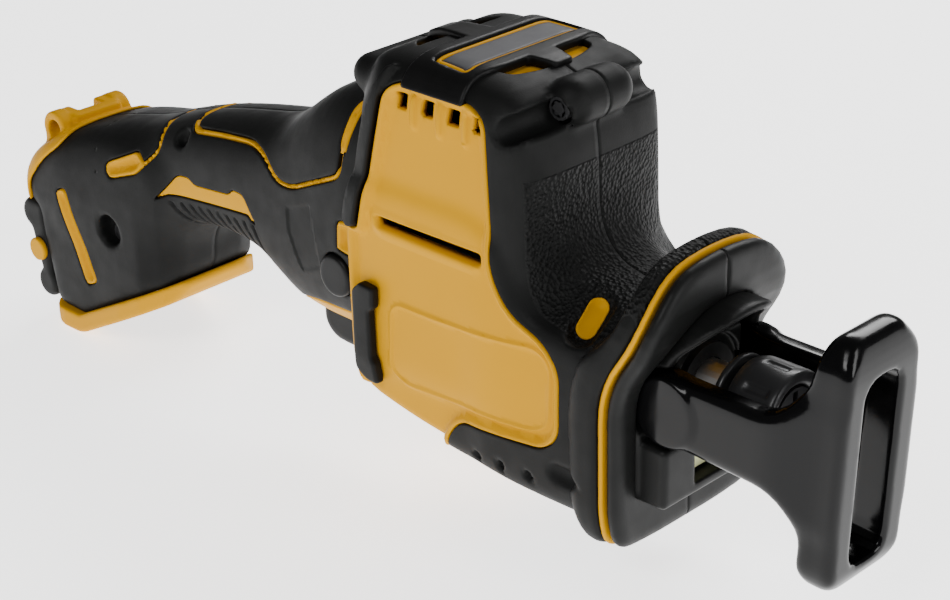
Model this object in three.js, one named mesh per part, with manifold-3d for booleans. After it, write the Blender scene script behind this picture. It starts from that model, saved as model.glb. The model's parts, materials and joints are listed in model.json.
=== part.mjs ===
// One-handed cordless reciprocating saw, millimetres, +X towards the blade, +Z up.
// The origin is on the middle plane, under the middle of the tool, level with its lowest edge.
import * as THREE from 'three';
import { mergeVertices } from 'three/addons/utils/BufferGeometryUtils.js';
import Module from 'manifold-3d';

const wasm = await Module();
wasm.setup();

// ---- driving dimensions ----
const GAP = 0.3;                 // clearance between neighbouring pieces
const REAR_X = -154;             // back of the rear bumper
const FRONT_X = 154;             // front face of the shoe
const BODY_HALF_WIDTH = 30;
const FOOT_HALF_WIDTH = 23;
const FOOT_TILT = 27;            // degrees of the battery face
const SKIN = 1.8;                // thickness of the rubber over the shells
const WALL = 2.6;                // thickness of the shells
const TOP_Z = 127.6;             // crown of the motor housing
const SHAFT_Z = 55;              // height of the reciprocating shaft
const SHAFT_RADIUS = 6;
const STROKE = 16;
const MOTOR_X = 36;              // vertical motor axis
const GEAR_MODULE = 1;
const PINION_TEETH = 9;
const CRANK_TEETH = 41;
const CRANK_X = MOTOR_X + GEAR_MODULE * (PINION_TEETH + CRANK_TEETH) / 2;
const GEAR_BOTTOM = 62;
const GEAR_TOP = 68;
const PIVOT_X = 105;             // axis on which the shoe tilts
const GUARD_LOW_X = 93;          // plane of the guard below its bend
const GUARD_HIGH_X = 104;        // plane of the guard above its bend
const SHOE_HALF_WIDTH = 14.7;
const SHOE_TILT = -2.7;          // degrees the shoe stands turned back at rest
const CASE_FRONT = 87.7;         // front face of the gear case
const NECK_RADIUS = 4.2;         // of the shaft, where the crank pin passes it
const NECK_END = 80.6;

const degrees = Math.PI / 180;

// ---- materials ----
const yellow = () => new THREE.MeshStandardMaterial({ color: 0xf7b617, roughness: 0.45 });
const rubber = () => new THREE.MeshStandardMaterial({ color: 0x2b2c2e, roughness: 0.8 });
const blackPlastic = () => new THREE.MeshStandardMaterial({ color: 0x1b1b1d, roughness: 0.4 });
const steel = () => new THREE.MeshStandardMaterial({ color: 0xb9bcc0, roughness: 0.3, metalness: 1 });
const aluminium = () => new THREE.MeshStandardMaterial({ color: 0xa7aaad, roughness: 0.5, metalness: 1 });
const copper = () => new THREE.MeshStandardMaterial({ color: 0xb46a3c, roughness: 0.4, metalness: 1 });
const board = () => new THREE.MeshStandardMaterial({ color: 0x20543a, roughness: 0.6 });
const lens = () => new THREE.MeshStandardMaterial({ color: 0xe6e7b0, roughness: 0.1 });

// ---- solids ----
function solid(geometry) {
  const bare = geometry.clone();
  bare.deleteAttribute('normal');
  bare.deleteAttribute('uv');
  const merged = mergeVertices(bare, 1e-4);
  const vertProperties = new Float32Array(merged.attributes.position.array);
  const triVerts = new Uint32Array(merged.index.array);
  return new wasm.Manifold(new wasm.Mesh({ numProp: 3, vertProperties, triVerts }));
}

function geometryOf(shape) {
  const mesh = shape.getMesh();
  const geometry = new THREE.BufferGeometry();
  geometry.setAttribute('position', new THREE.BufferAttribute(new Float32Array(mesh.vertProperties), 3));
  geometry.setIndex(new THREE.BufferAttribute(new Uint32Array(mesh.triVerts), 1));
  return geometry;
}

function unite(...shapes) {
  return shapes.reduce((sum, shape) => sum.add(shape));
}

function cut(shape, ...tools) {
  return tools.reduce((left, tool) => left.subtract(tool), shape);
}

// An outline is a list of corners [across, up, fillet radius].
function outline(corners) {
  const shape = new THREE.Shape();
  corners.forEach(([x, y, radius = 0], i) => {
    const corner = new THREE.Vector2(x, y);
    const before = new THREE.Vector2(...corners.at(i - 1)).sub(corner);
    const after = new THREE.Vector2(...corners[(i + 1) % corners.length]).sub(corner);
    const half = Math.abs(before.angleTo(after)) / 2;
    const reach = Math.min(radius / Math.tan(half), before.length() * 0.49, after.length() * 0.49);
    const start = corner.clone().addScaledVector(before.normalize(), reach);
    const end = corner.clone().addScaledVector(after.normalize(), reach);
    if (i === 0) shape.moveTo(start.x, start.y);
    else shape.lineTo(start.x, start.y);
    if (reach > 0) shape.quadraticCurveTo(x, y, end.x, end.y);
  });
  shape.closePath();
  return shape;
}

// Moves every side of an anticlockwise outline inwards by the same distance.
function shrink(corners, distance) {
  return corners.map(([x, y, radius = 0], i) => {
    const corner = new THREE.Vector2(x, y);
    const along = corner.clone().sub(new THREE.Vector2(...corners.at(i - 1))).normalize();
    const next = new THREE.Vector2(...corners[(i + 1) % corners.length]).sub(corner).normalize();
    const left = new THREE.Vector2(-along.y - next.y, along.x + next.x).normalize();
    const scale = distance / (left.x * -along.y + left.y * along.x);
    const kept = Math.max(radius - distance, 0.5);
    return [x + left.x * scale, y + left.y * scale, radius === 0 ? 0 : kept];
  });
}

function prism(corners, depth, curveSegments) {
  return new THREE.ExtrudeGeometry(outline(corners), { depth, bevelEnabled: false, curveSegments });
}

// Side outline (x, z) swept across the tool.
function acrossY(corners, yMin, yMax, curveSegments = 2) {
  return solid(prism(corners, yMax - yMin, curveSegments).rotateX(Math.PI / 2).translate(0, yMax, 0));
}

// Front outline (y, z) swept along the tool.
function alongX(corners, xMin, xMax, curveSegments = 2) {
  const turned = prism(corners, xMax - xMin, curveSegments).rotateX(Math.PI / 2).rotateZ(Math.PI / 2);
  return solid(turned.translate(xMin, 0, 0));
}

// Plan outline (x, y) swept upwards.
function upZ(corners, zMin, zMax, curveSegments = 2) {
  return solid(prism(corners, zMax - zMin, curveSegments).translate(0, 0, zMin));
}

function box(xMin, xMax, yMin, yMax, zMin, zMax) {
  const geometry = new THREE.BoxGeometry(xMax - xMin, yMax - yMin, zMax - zMin);
  return solid(geometry.translate((xMin + xMax) / 2, (yMin + yMax) / 2, (zMin + zMax) / 2));
}

// Profile of [radius, height] pairs turned about an upright axis at (x, y).
function turnedZ(profile, x, y, segments = 24) {
  const points = profile.map(([radius, height]) => new THREE.Vector2(radius, height));
  return solid(new THREE.LatheGeometry(points, segments).rotateX(Math.PI / 2).translate(x, y, 0));
}

// Profile of [radius, x] pairs turned about the axis of the reciprocating shaft.
function turnedX(profile, segments = 24) {
  const points = profile.map(([radius, x]) => new THREE.Vector2(radius, x));
  return solid(new THREE.LatheGeometry(points, segments).rotateZ(-Math.PI / 2).translate(0, 0, SHAFT_Z));
}

function rodY(x, z, radius, yMin, yMax, segments = 20) {
  const geometry = new THREE.CylinderGeometry(radius, radius, yMax - yMin, segments);
  return solid(geometry.translate(x, (yMin + yMax) / 2, z));
}

function rodX(y, z, radius, xMin, xMax, segments = 20) {
  const geometry = new THREE.CylinderGeometry(radius, radius, xMax - xMin, segments);
  return solid(geometry.rotateZ(Math.PI / 2).translate((xMin + xMax) / 2, y, z));
}

function ringProfile(inner, outer, from, to) {
  return [[inner, from], [outer, from], [outer, to], [inner, to], [inner, from]];
}

// Turns a solid about the cross axis through (x, z); a positive angle lifts its front end.
function tilted(geometrySolid, angle, x, z) {
  const geometry = geometryOf(geometrySolid).translate(-x, 0, -z);
  return solid(geometry.rotateY(-angle * degrees).translate(x, 0, z));
}

// ---- outer form of the tool, drawn in by a distance for the layers beneath it ----
const BODY_SIDE = [
  [6, 28, 6], [70, 19, 6], [100, 19, 2], [100, 76, 2], [84, 77.5, 8], [72.5, 84, 10],
  [68, 123.5, 6], [50, TOP_Z, 12], [22, TOP_Z, 14], [6, 119, 12],
];
const BODY_FRONT = [
  [-28.5, 17, 12], [28.5, 17, 12], [BODY_HALF_WIDTH, 80, 6], [27.5, TOP_Z, 15], [-27.5, TOP_Z, 15],
  [-BODY_HALF_WIDTH, 80, 6],
];
const BODY_PLAN = [
  [4, -30.5, 5], [56, -30.5, 12], [80, -23, 12], [102, -23, 2], [102, 23, 2], [80, 23, 12],
  [56, 30.5, 12], [4, 30.5, 5],
];
// Sections of the grip and neck: [x, bottom z, top z, half width], square-cornered ovals in between.
const GRIP_SECTIONS = [
  [-146, 40, 56, 14], [-138, 34, 60.5, 17], [-125, 33, 65.5, 17.5], [-110, 36, 71.5, 17.5],
  [-95, 44, 77.5, 17], [-80, 47.5, 82, 17], [-65, 49, 85.5, 17], [-50, 47.5, 88.5, 17.5],
  [-42, 43.5, 90.5, 18], [-34, 34.5, 95, 18.5], [-26, 34, 101, 19], [-14, 34, 107, 20.5],
  [12, 34, 109, 22.5],
];
const GRIP_SQUARENESS = 2.6;
const GRIP_SIDES = 20;
const FOOT_SIDE = [
  [-126, 5.6, 0], [-89, 24.4, 2], [-85, 31, 3], [-85, 48, 4], [-110, 58, 10], [-142, 47, 10],
  [-145, 34, 4], [-136, 5.6, 3],
];
const FOOT_PLAN = [
  [-150, -FOOT_HALF_WIDTH, 9], [-85, -FOOT_HALF_WIDTH, 19], [-85, FOOT_HALF_WIDTH, 19],
  [-150, FOOT_HALF_WIDTH, 9],
];
const REAR_LEAN = 9.3;           // degrees the rear corners of the housing lean forward
const LEAN_Z = 79;               // height at which the lean starts
const LEAN_X = 7.5;              // where it meets the side face at that height

function bodyForm(inset) {
  const side = acrossY(shrink(BODY_SIDE, inset), -40, 40);
  const front = alongX(shrink(BODY_FRONT, inset), 0, 110);
  const plan = upZ(shrink(BODY_PLAN, inset), 0, 140);
  return cut(side.intersect(front).intersect(plan), rearLean(-1, inset), rearLean(1, inset));
}

// Wedge taken off one rear corner of the housing.
function rearLean(side, inset) {
  const wedge = new THREE.BoxGeometry(40, 90, 80).translate(-20 + inset, 0, 40);
  wedge.rotateY(REAR_LEAN * degrees).rotateZ(-side * 45 * degrees);
  const placed = solid(wedge.translate(LEAN_X, side * BODY_HALF_WIDTH, LEAN_Z));
  return placed.intersect(box(-60, 90, -90, 90, LEAN_Z, 180));
}

function gripForm(inset) {
  const last = GRIP_SECTIONS.length - 1;
  const geometry = new THREE.CylinderGeometry(1, 1, last, GRIP_SIDES, last).rotateZ(Math.PI / 2);
  const points = geometry.attributes.position;
  const power = 2 / GRIP_SQUARENESS;
  for (let i = 0; i < points.count; i += 1) {
    const station = Math.round(last / 2 - points.getX(i));
    const [x, bottom, top, halfWidth] = GRIP_SECTIONS[last - station];
    const across = Math.sign(points.getZ(i)) * Math.abs(points.getZ(i)) ** power;
    const up = Math.sign(points.getY(i)) * Math.abs(points.getY(i)) ** power;
    const end = station === last ? inset : 0;
    const halfHeight = (top - bottom) / 2 - inset;
    points.setXYZ(i, x + end, -across * (halfWidth - inset), (bottom + top) / 2 + up * halfHeight);
  }
  return solid(geometry);
}

function footForm(inset) {
  return acrossY(shrink(FOOT_SIDE, inset), -40, 40).intersect(upZ(shrink(FOOT_PLAN, inset), 0, 70));
}

function toolForm(inset) {
  return unite(bodyForm(inset), gripForm(inset), footForm(inset));
}

// Side outline of the guard's bend, between two distances from its middle line.
function guardBand(back, front, zMin = 10, zMax = 98) {
  const bend = [
    [GUARD_LOW_X, zMin, 0], [GUARD_LOW_X, 59, 8], [GUARD_HIGH_X, 76, 8], [GUARD_HIGH_X, zMax, 0],
  ];
  const forward = bend.map(([x, z, radius]) => [x + front, z, radius]);
  const backward = bend.map(([x, z, radius]) => [x + back, z, radius]).reverse();
  return [...forward, ...backward];
}

const GUARD_FRONT = [
  [-27.5, 14.4, 10], [27.5, 14.4, 10], [28, 60, 20], [26.5, 84, 14], [0, 92, 30], [-26.5, 84, 14],
  [-28, 60, 20],
];
const NOSE_FRONT = [
  [-20, 27, 6], [20, 27, 6], [21, 64, 4], [14, 74, 10], [0, 78, 10], [-14, 74, 10], [-21, 64, 4],
];

// ---- zones and hollows ----
const PANEL = [[9, 30, 6], [62, 27, 8], [74, 38, 8], [72, 58, 10], [58, 66, 10], [56, 116, 5], [12, 116, 5]];
const TRIGGER_X = [-28, -6];
const TRIGGER_HALF_WIDTH = 8.5;
const LUG_X = -143.8;            // eye of the lanyard lug
const LUG_Z = 60.6;
const LOCK_X = -6;
const LOCK_Z = 57;
// Each screw is [x, z, y of the seat under its head].
const SCREWS = [
  [65, 119, -9], [10, 113, -15], [-77, 75, -8], [-70, 53.5, -7], [-108, 38, -15], [62, 27, -17],
];
const SCREW_HEAD = 3;            // radius
const SCREW_END = 12;            // how far a screw reaches into the left shell

function panelZone(growth) {
  const zone = acrossY(shrink(PANEL, -growth), -40, 40);
  return zone.subtract(box(0, 120, growth - 25, 25 - growth, 0, 140));
}

function triggerPocket() {
  const halfWidth = TRIGGER_HALF_WIDTH + 0.5;
  return box(TRIGGER_X[0] - 0.6, TRIGGER_X[1] + 0.6, -halfWidth, halfWidth, 20, 50);
}

function screwBosses() {
  return unite(...SCREWS.map(([x, z]) => rodY(x, z, 4.6, -40, 40, 12)));
}

function screwBores() {
  const shanks = SCREWS.map(([x, z]) => rodY(x, z, 1.6 + GAP, -30, SCREW_END + 1, 8));
  const heads = SCREWS.map(([x, z, seat]) => rodY(x, z, SCREW_HEAD + 0.4, -40, seat + GAP, 10));
  return unite(...shanks, ...heads);
}

function lockBore() {
  return rodY(LOCK_X, LOCK_Z, 6.4, -40, 40, 20);
}

function batteryBay() {
  const rails = box(-152, -93, -16.5, 16.5, -20, 10);
  const contacts = box(-148, -96, -16.5, 16.5, 5, 15.5);
  return tilted(rails.add(contacts), FOOT_TILT, -126, 1);
}

function frontTrim() {
  return acrossY(guardBand(-7 - GAP, 40), -60, 60);
}

function openings() {
  const behind = box(-160, -143, -40, 40, 0, 80);
  return [frontTrim(), nosePassage, triggerPocket(), batteryBay(), topPocket, screwBores(), lockBore(),
    footBaseZone(), behind];
}

function halfSpace(side) {
  return side < 0 ? box(-200, 200, -80, -GAP / 2, -20, 200) : box(-200, 200, GAP / 2, 80, -20, 200);
}

// ---- housing ----
const outerForm = toolForm(0);
const shellForm = toolForm(SKIN);
const skinForm = toolForm(SKIN - GAP);
const hollowForm = toolForm(SKIN + WALL);
const topPocket = box(28.5, 43.5, -22, 22, 124.8, 140);
const nosePassage = alongX(shrink(NOSE_FRONT, -GAP), 80, 125);

function housingShell(side) {
  const exposed = outerForm.intersect(panelZone(0));
  const walls = cut(unite(shellForm, exposed), hollowForm);
  const shell = unite(walls, screwBosses().intersect(shellForm)).intersect(halfSpace(side));
  return cut(shell, ...openings());
}

function overmould(side) {
  const skin = cut(outerForm, skinForm).intersect(halfSpace(side));
  return cut(skin, panelZone(GAP), ...openings());
}

// ---- foot, bumper and rear cover ----
function footBaseZone() {
  return acrossY([
    [-130, -4, 0], [-60, 30, 0], [-60, 39.8, 0], [-127, 5.7, 0], [-160, 5.7, 0], [-160, -4, 0],
  ], -60, 60);
}

function footBase() {
  const side = acrossY([
    [-126.5, 0, 0], [-87.5, 19.9, 2], [-85.5, 26, 2], [-127, 5, 0], [-137.5, 5, 0], [-140, 3, 2],
    [-136, 0, 2],
  ], -40, 40);
  const plan = upZ([[-141, -22.5, 8], [-85.4, -22.5, 19], [-85.4, 22.5, 19], [-141, 22.5, 8]], -5, 60);
  return cut(side.intersect(plan), tilted(box(-133, -93, -16.5, 16.5, -20, 30), FOOT_TILT, -126, 1));
}

function rearBumper() {
  return acrossY([
    [-143.3, 7, 0], [-143.3, 38, 0], [-147, 39, 2], [-153, 37, 4], [REAR_X, 29, 3], [-150.5, 24, 3],
    [-149.5, 15, 3], [-151, 10, 3], [-147, 6, 4], [-144, 6, 2],
  ].reverse(), -21, 21);
}

function bumperPlug(side) {
  return side < 0 ? rodY(-147, 21, 3.6, -23, -21 - GAP) : rodY(-147, 21, 3.6, 21 + GAP, 23);
}

function rearCover() {
  const shield = acrossY([
    [-152.5, 40, 2], [-143.3, 40, 0], [-143.3, 54, 0], [-132, 61, 0], [-133, 65, 3], [-144, 61, 8],
    [-151.5, 50, 8],
  ], -17, 17);
  const ears = [-1, 1].map((side) => {
    const [inner, outer] = [side * 8, side * 13].sort((a, b) => a - b);
    return unite(rodY(LUG_X, LUG_Z, 5.8, inner, outer), box(-148, -137, inner, outer, 55, LUG_Z));
  });
  const bar = rodY(LUG_X, LUG_Z, 5, -8.5, 8.5);
  const clear = cut(toolForm(-GAP), box(-170, -143.3, -40, 40, 0, 90));
  return cut(unite(shield, ...ears, bar), rodY(LUG_X, LUG_Z, 3, -20, 20, 16), clear);
}

// ---- guard and nose ----
function guardLayer(back, front, growth) {
  const frontView = alongX(shrink(GUARD_FRONT, -growth), 70, 125);
  return cut(acrossY(guardBand(back, front), -40, 40).intersect(frontView), nosePassage);
}

function noseBlock() {
  const core = alongX(NOSE_FRONT, 88, 98);
  const lower = alongX([[-20, 28, 6], [20, 28, 6], [20, 44.5, 1], [-20, 44.5, 1]], 97, 106.5);
  const hood = acrossY([[97, 66, 0], [105, 66, 0], [116, 77, 1], [97, 79, 0]], -40, 40)
    .intersect(alongX(NOSE_FRONT, 90, 120));
  const centre = box(97, 103, -12.4, 12.4, 40, 68);
  const knuckleRoom = [-1, 1].map((side) => sideRod(10.2, side, 12.7, 30, 24));
  const lampRoom = box(99, 120, -8, 8, 31, 42);
  const bore = rodX(0, SHAFT_Z, 10.4, 80, 104.5, 24);
  const travel = rodX(0, SHAFT_Z, 12.4, 103.2, 130, 24);
  return cut(unite(core, lower, hood, centre), ...knuckleRoom, lampRoom, bore, travel);
}

// Rod on the shoe's pivot, on one side of the tool.
function sideRod(radius, side, inner, outer, segments) {
  const [low, high] = [side * inner, side * outer].sort((a, b) => a - b);
  return rodY(PIVOT_X, SHAFT_Z, radius, low, high, segments);
}

// ---- shoe ----
function shoe() {
  const form = acrossY([
    [148.7, 21, 4], [152.7, 24, 2], [152.7, 84, 3], [148.7, 88, 2], [144.7, 88, 2], [141.7, 84, 3],
    [141.7, 72, 4], [132, 64, 10], [112, 64, 2], [112, 46.5, 2], [135, 46.5, 10], [142.7, 34, 8],
    [142.2, 24, 2], [144.7, 21, 2],
  ], -30, 30);
  const plan = upZ([
    [100, -20, 2], [138, -20, 4], [144.7, -SHOE_HALF_WIDTH, 2], [156, -SHOE_HALF_WIDTH, 2],
    [156, SHOE_HALF_WIDTH, 2], [144.7, SHOE_HALF_WIDTH, 2], [138, 20, 4], [100, 20, 2],
  ], 0, 100);
  const face = alongX([
    [-12, 20, 4], [12, 20, 4], [20, 34, 2], [20, 70, 2], [8, 90, 3], [-8, 90, 3], [-20, 70, 2], [-20, 34, 2],
  ], 100, 160);
  const slot = alongX([[-7, 26, 5], [7, 26, 5], [7, 77, 5], [-7, 77, 5]], 130, 160);
  const middle = box(104, 141.2, -13.4, 13.4, 10, 95);
  const plate = cut(form.intersect(plan).intersect(face), slot, middle);
  const knuckles = [-1, 1].map((side) => sideRod(9.2, side, 13.4, 20, 24));
  const arms = [box(105, 113, -20, -13.4, 46.5, 63.5), box(105, 113, 13.4, 20, 46.5, 63.5)];
  const upright = cut(unite(plate, ...knuckles, ...arms), rodY(PIVOT_X, SHAFT_Z, 3.3, -18, 18, 16));
  return tilted(upright, SHOE_TILT, PIVOT_X, SHAFT_Z);
}

function shoePin(side) {
  return sideRod(3, side, 12.8, 17.5, 16);
}

// ---- motor ----
function stator() {
  const ring = turnedZ(ringProfile(12.6, 22, 82, 103), MOTOR_X, 0, 30);
  const slots = [0, 1, 2, 3, 4, 5].map((i) => {
    const slot = new THREE.BoxGeometry(7, 5, 30).translate(16, 0, 92.5);
    return solid(slot.rotateZ(i * Math.PI / 3).translate(MOTOR_X, 0, 0));
  });
  return cut(ring, ...slots);
}

function endWinding(from, to) {
  return turnedZ(ringProfile(13.5, 20.5, from, to), MOTOR_X, 0, 20);
}

function rotor() {
  return turnedZ(ringProfile(2.5 + GAP, 11.8, 83, 102), MOTOR_X, 0, 20);
}

function motorShaft() {
  return turnedZ([[0, 60], [2.5, 60], [2.5, 120.6], [0, 120.6]], MOTOR_X, 0, 20);
}

function bearing(inner, outer, from, to, x) {
  return turnedZ(ringProfile(inner, outer, from, to), x, 0, 16);
}

function fan() {
  const hub = turnedZ(ringProfile(2.5 + GAP, 7, 107.6, 114), MOTOR_X, 0, 24);
  const disc = turnedZ(ringProfile(6, 20, 107.6, 109), MOTOR_X, 0, 28);
  const blades = Array.from({ length: 7 }, (_, i) => {
    const blade = new THREE.BoxGeometry(14, 1.2, 5.4).translate(12.8, 0, 111.2).rotateZ(i * Math.PI * 2 / 7);
    return solid(blade.translate(MOTOR_X, 0, 0));
  });
  return unite(hub, disc, ...blades);
}

// ---- gears and crank ----
function spurGear(teeth, boreRadius, from, to, x, phase) {
  const pitch = GEAR_MODULE * teeth / 2;
  const root = pitch - 1.15 * GEAR_MODULE;
  const tip = pitch + 0.85 * GEAR_MODULE;
  const shape = new THREE.Shape();
  for (let i = 0; i < teeth; i += 1) {
    const middle = phase + i * 2 * Math.PI / teeth;
    const flank = (radius, share) => {
      const angle = middle + share * Math.PI / teeth;
      return [radius * Math.cos(angle), radius * Math.sin(angle)];
    };
    if (i === 0) shape.moveTo(...flank(root, -0.62));
    else shape.lineTo(...flank(root, -0.62));
    shape.lineTo(...flank(tip, -0.24));
    shape.lineTo(...flank(tip, 0.24));
    shape.lineTo(...flank(root, 0.62));
  }
  shape.closePath();
  const settings = { depth: to - from, bevelEnabled: false, curveSegments: 1 };
  const wheel = new THREE.ExtrudeGeometry(shape, settings);
  const bore = turnedZ([[0, from - 1], [boreRadius, from - 1], [boreRadius, to + 1], [0, to + 1]], x, 0, 16);
  return cut(solid(wheel.translate(x, 0, from)), bore);
}

function crankPin() {
  const top = GEAR_BOTTOM - GAP;
  return turnedZ([[0, 59.6], [3, 59.6], [3, top], [0, top]], CRANK_X, STROKE / 2, 20);
}

function gearAxle() {
  return turnedZ([[0, GEAR_BOTTOM], [3, GEAR_BOTTOM], [3, 75], [0, 75]], CRANK_X, 0, 16);
}

function gearCase() {
  const deck = upZ([
    [20, -18, 8], [52, -21, 8], [74, -18, 4], [CASE_FRONT, -11, 3], [CASE_FRONT, 11, 3], [74, 18, 4],
    [52, 21, 8], [20, 18, 8],
  ], 70, 73);
  const block = box(CASE_FRONT - 4.2, CASE_FRONT, -14, 14, 44, 70.5);
  const pocket = turnedZ(ringProfile(8.3, 11, 72.9, 77), MOTOR_X, 0, 24);
  const bore = [[0, 69], [3.2, 69], [3.2, 71.4], [8.3, 71.4], [8.3, 78], [0, 78]];
  const shaftHole = turnedZ(bore, MOTOR_X, 0, 24);
  const axleHole = turnedZ([[0, 69], [6 + GAP, 69], [6 + GAP, 78], [0, 78]], CRANK_X, 0, 20);
  const bushHole = rodX(0, SHAFT_Z, 10 + GAP, 80, 100, 24);
  return cut(unite(deck, block, pocket), shaftHole, axleHole, bushHole, topOfNose());
}

function topOfNose() {
  return cut(box(60, 110, -40, 40, 60, 90), toolForm(SKIN + WALL + GAP));
}

// ---- reciprocating shaft and blade clamp ----
function shaftRod() {
  return turnedX([
    [0, 70], [NECK_RADIUS, 70], [NECK_RADIUS, NECK_END], [SHAFT_RADIUS, NECK_END], [SHAFT_RADIUS, 111.4],
    [0, 111.4],
  ], 24);
}

function shaftYoke() {
  const frame = box(CRANK_X - 7, CRANK_X + 8.7, -15, 15, SHAFT_Z - 4, SHAFT_Z + 4);
  return cut(frame, box(CRANK_X - 3.3, CRANK_X + 3.3, -11.5, 11.5, 40, 70));
}

function clampDisc() {
  return turnedX(ringProfile(4.4, 10.5, 111.8, 113.8), 20);
}

function clampCore() {
  const body = turnedX([[0, 111.8], [4, 111.8], [4, 114.2], [7.2, 114.2], [7.2, 129], [0, 129]], 24);
  return cut(body, box(118, 131, -0.9, 0.9, SHAFT_Z - 6.4, SHAFT_Z + 6.4));
}

function wireSection(radius) {
  return new THREE.Shape(Array.from({ length: 5 }, (_, i) => {
    const angle = i * 2 * Math.PI / 5;
    return new THREE.Vector2(radius * Math.cos(angle), radius * Math.sin(angle));
  }));
}

function clampSpring() {
  const ring = [];
  const turns = 3;
  const steps = turns * 10;
  for (let i = 0; i <= steps; i += 1) {
    const angle = i * 2 * Math.PI / 10;
    const along = 115.2 + 4.2 * i / steps;
    ring.push(new THREE.Vector3(along, 8.35 * Math.cos(angle), SHAFT_Z + 8.35 * Math.sin(angle)));
  }
  const wire = wireSection(0.5);
  const path = new THREE.CatmullRomCurve3(ring);
  return solid(new THREE.ExtrudeGeometry(wire, { steps, extrudePath: path, bevelEnabled: false }));
}

function clampCollar() {
  const sleeve = turnedX([[7.5, 121], [9.6, 121], [9.6, 115.6], [10.6, 115.6], [11.5, 118.4], [11.5, 127],
    [10.4, 129.6], [7.5, 129.6], [7.5, 121]], 24);
  const grooves = Array.from({ length: 8 }, (_, i) => {
    const rib = new THREE.CylinderGeometry(1.1, 1.1, 6, 6).rotateZ(Math.PI / 2).translate(123, 12, 0);
    return solid(rib.rotateX(i * Math.PI / 4).translate(0, 0, SHAFT_Z));
  });
  return cut(sleeve, ...grooves);
}

// ---- controls and electrics ----
function trigger() {
  const [back, front] = TRIGGER_X;
  return acrossY([
    [back, 40, 2], [back + 4, 30.5, 4], [back + 11, 26.5, 6], [front - 2, 29, 3], [front, 34, 2],
    [front, 42, 1], [back, 42, 0],
  ], -TRIGGER_HALF_WIDTH, TRIGGER_HALF_WIDTH);
}

function triggerSpring() {
  const steps = 32;
  const points = Array.from({ length: steps + 1 }, (_, i) => {
    const angle = i * 2 * Math.PI / 8;
    return new THREE.Vector3(-17 + 2.6 * Math.cos(angle), 2.6 * Math.sin(angle), 42.8 + 6 * i / steps);
  });
  const wire = wireSection(0.35);
  const path = new THREE.CatmullRomCurve3(points);
  return solid(new THREE.ExtrudeGeometry(wire, { steps, extrudePath: path, bevelEnabled: false }));
}

function lockButton() {
  return rodY(LOCK_X, LOCK_Z, 6, -23, 23);
}

function ledLens() {
  return box(99.4, 102, -7.5, 7.5, 32, 41.5);
}

function terminalBlock() {
  return tilted(box(-124, -100, -11, 11, 10.6, 15.2), FOOT_TILT, -126, 1);
}

function terminalBlade(y) {
  return tilted(box(-120, -106, y - 0.4, y + 0.4, 4, 10.3), FOOT_TILT, -126, 1);
}

// Board with its row of power transistors.
function controlBoard() {
  const parts = [-126, -119, -112].map((x) => box(x, x + 4, -9, 9, 45.5, 49));
  return unite(box(-131, -101, -12, 12, 44, 45.6), ...parts);
}

function motorLead(y) {
  const route = [[-99, y, 52], [-86, y, 61], [-64, y, 66], [-34, y, 78], [-4, y, 92], [13, y, 95]];
  const path = new THREE.CatmullRomCurve3(route.map((point) => new THREE.Vector3(...point)));
  const section = new THREE.Shape(Array.from({ length: 6 }, (_, i) => {
    return new THREE.Vector2(1.1 * Math.cos(i * Math.PI / 3), 1.1 * Math.sin(i * Math.PI / 3));
  }));
  return solid(new THREE.ExtrudeGeometry(section, { steps: 12, extrudePath: path, bevelEnabled: false }));
}

function sidePad(side) {
  const [low, high] = [side * 29.9, side * 31.3].sort((a, b) => a - b);
  return acrossY([[9.5, 34, 2], [15.5, 34, 2], [15.5, 63, 2], [11, 63, 2], [9.5, 61, 1]], low, high);
}

function housingScrew(x, z, seat) {
  return unite(rodY(x, z, 1.6, seat - 1, SCREW_END, 8), rodY(x, z, SCREW_HEAD, seat - 2.5, seat, 12));
}

// ---- assembly ----
const saw = new THREE.Group();

function place(name, shape, material) {
  const mesh = new THREE.Mesh(geometryOf(shape.simplify(0.03)), material);
  mesh.name = name;
  saw.add(mesh);
}

place('right_housing_shell', housingShell(-1), yellow());
place('left_housing_shell', housingShell(1), yellow());
place('right_overmould', overmould(-1), rubber());
place('left_overmould', overmould(1), rubber());

place('top_plate', box(28.8, 43.2, -21.7, 21.7, 125.1, 128.4), blackPlastic());
place('foot_base', footBase(), yellow());
place('rear_bumper', rearBumper(), rubber());
place('bumper_plug_right', bumperPlug(-1), yellow());
place('bumper_plug_left', bumperPlug(1), yellow());
place('rear_cover', rearCover(), yellow());
place('guard_backplate', guardLayer(-7, -0.9, 0), blackPlastic());
place('guard_stripe', guardLayer(-0.6, 0.6, -0.3), yellow());
place('front_guard', guardLayer(0.9, 5, 0), blackPlastic());
place('nose_block', noseBlock(), blackPlastic());
place('shoe', shoe(), blackPlastic());
place('shoe_pin_right', shoePin(-1), steel());
place('shoe_pin_left', shoePin(1), steel());
place('motor_stator', stator(), steel());
place('upper_end_winding', endWinding(103.3, 106.8), copper());
place('lower_end_winding', endWinding(78, 81.7), copper());
place('motor_rotor', rotor(), steel());
place('motor_shaft', motorShaft(), steel());
place('motor_fan', fan(), blackPlastic());
place('motor_pinion', spurGear(PINION_TEETH, 2.5 + GAP, GEAR_BOTTOM, GEAR_TOP, MOTOR_X, 0), steel());
place('upper_bearing', bearing(2.5 + GAP, 8, 115, 119.5, MOTOR_X), steel());
place('lower_bearing', bearing(2.5 + GAP, 8, 71.8, 76.5, MOTOR_X), steel());
place('crank_gear', spurGear(CRANK_TEETH, 3 + GAP, GEAR_BOTTOM, GEAR_TOP, CRANK_X, 0), steel());
place('crank_pin', crankPin(), steel());
place('gear_axle', gearAxle(), steel());
place('gear_bearing', bearing(3 + GAP, 6, 70, 73, CRANK_X), steel());
place('gear_case', gearCase(), aluminium());
place('reciprocating_shaft', shaftRod(), steel());
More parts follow.
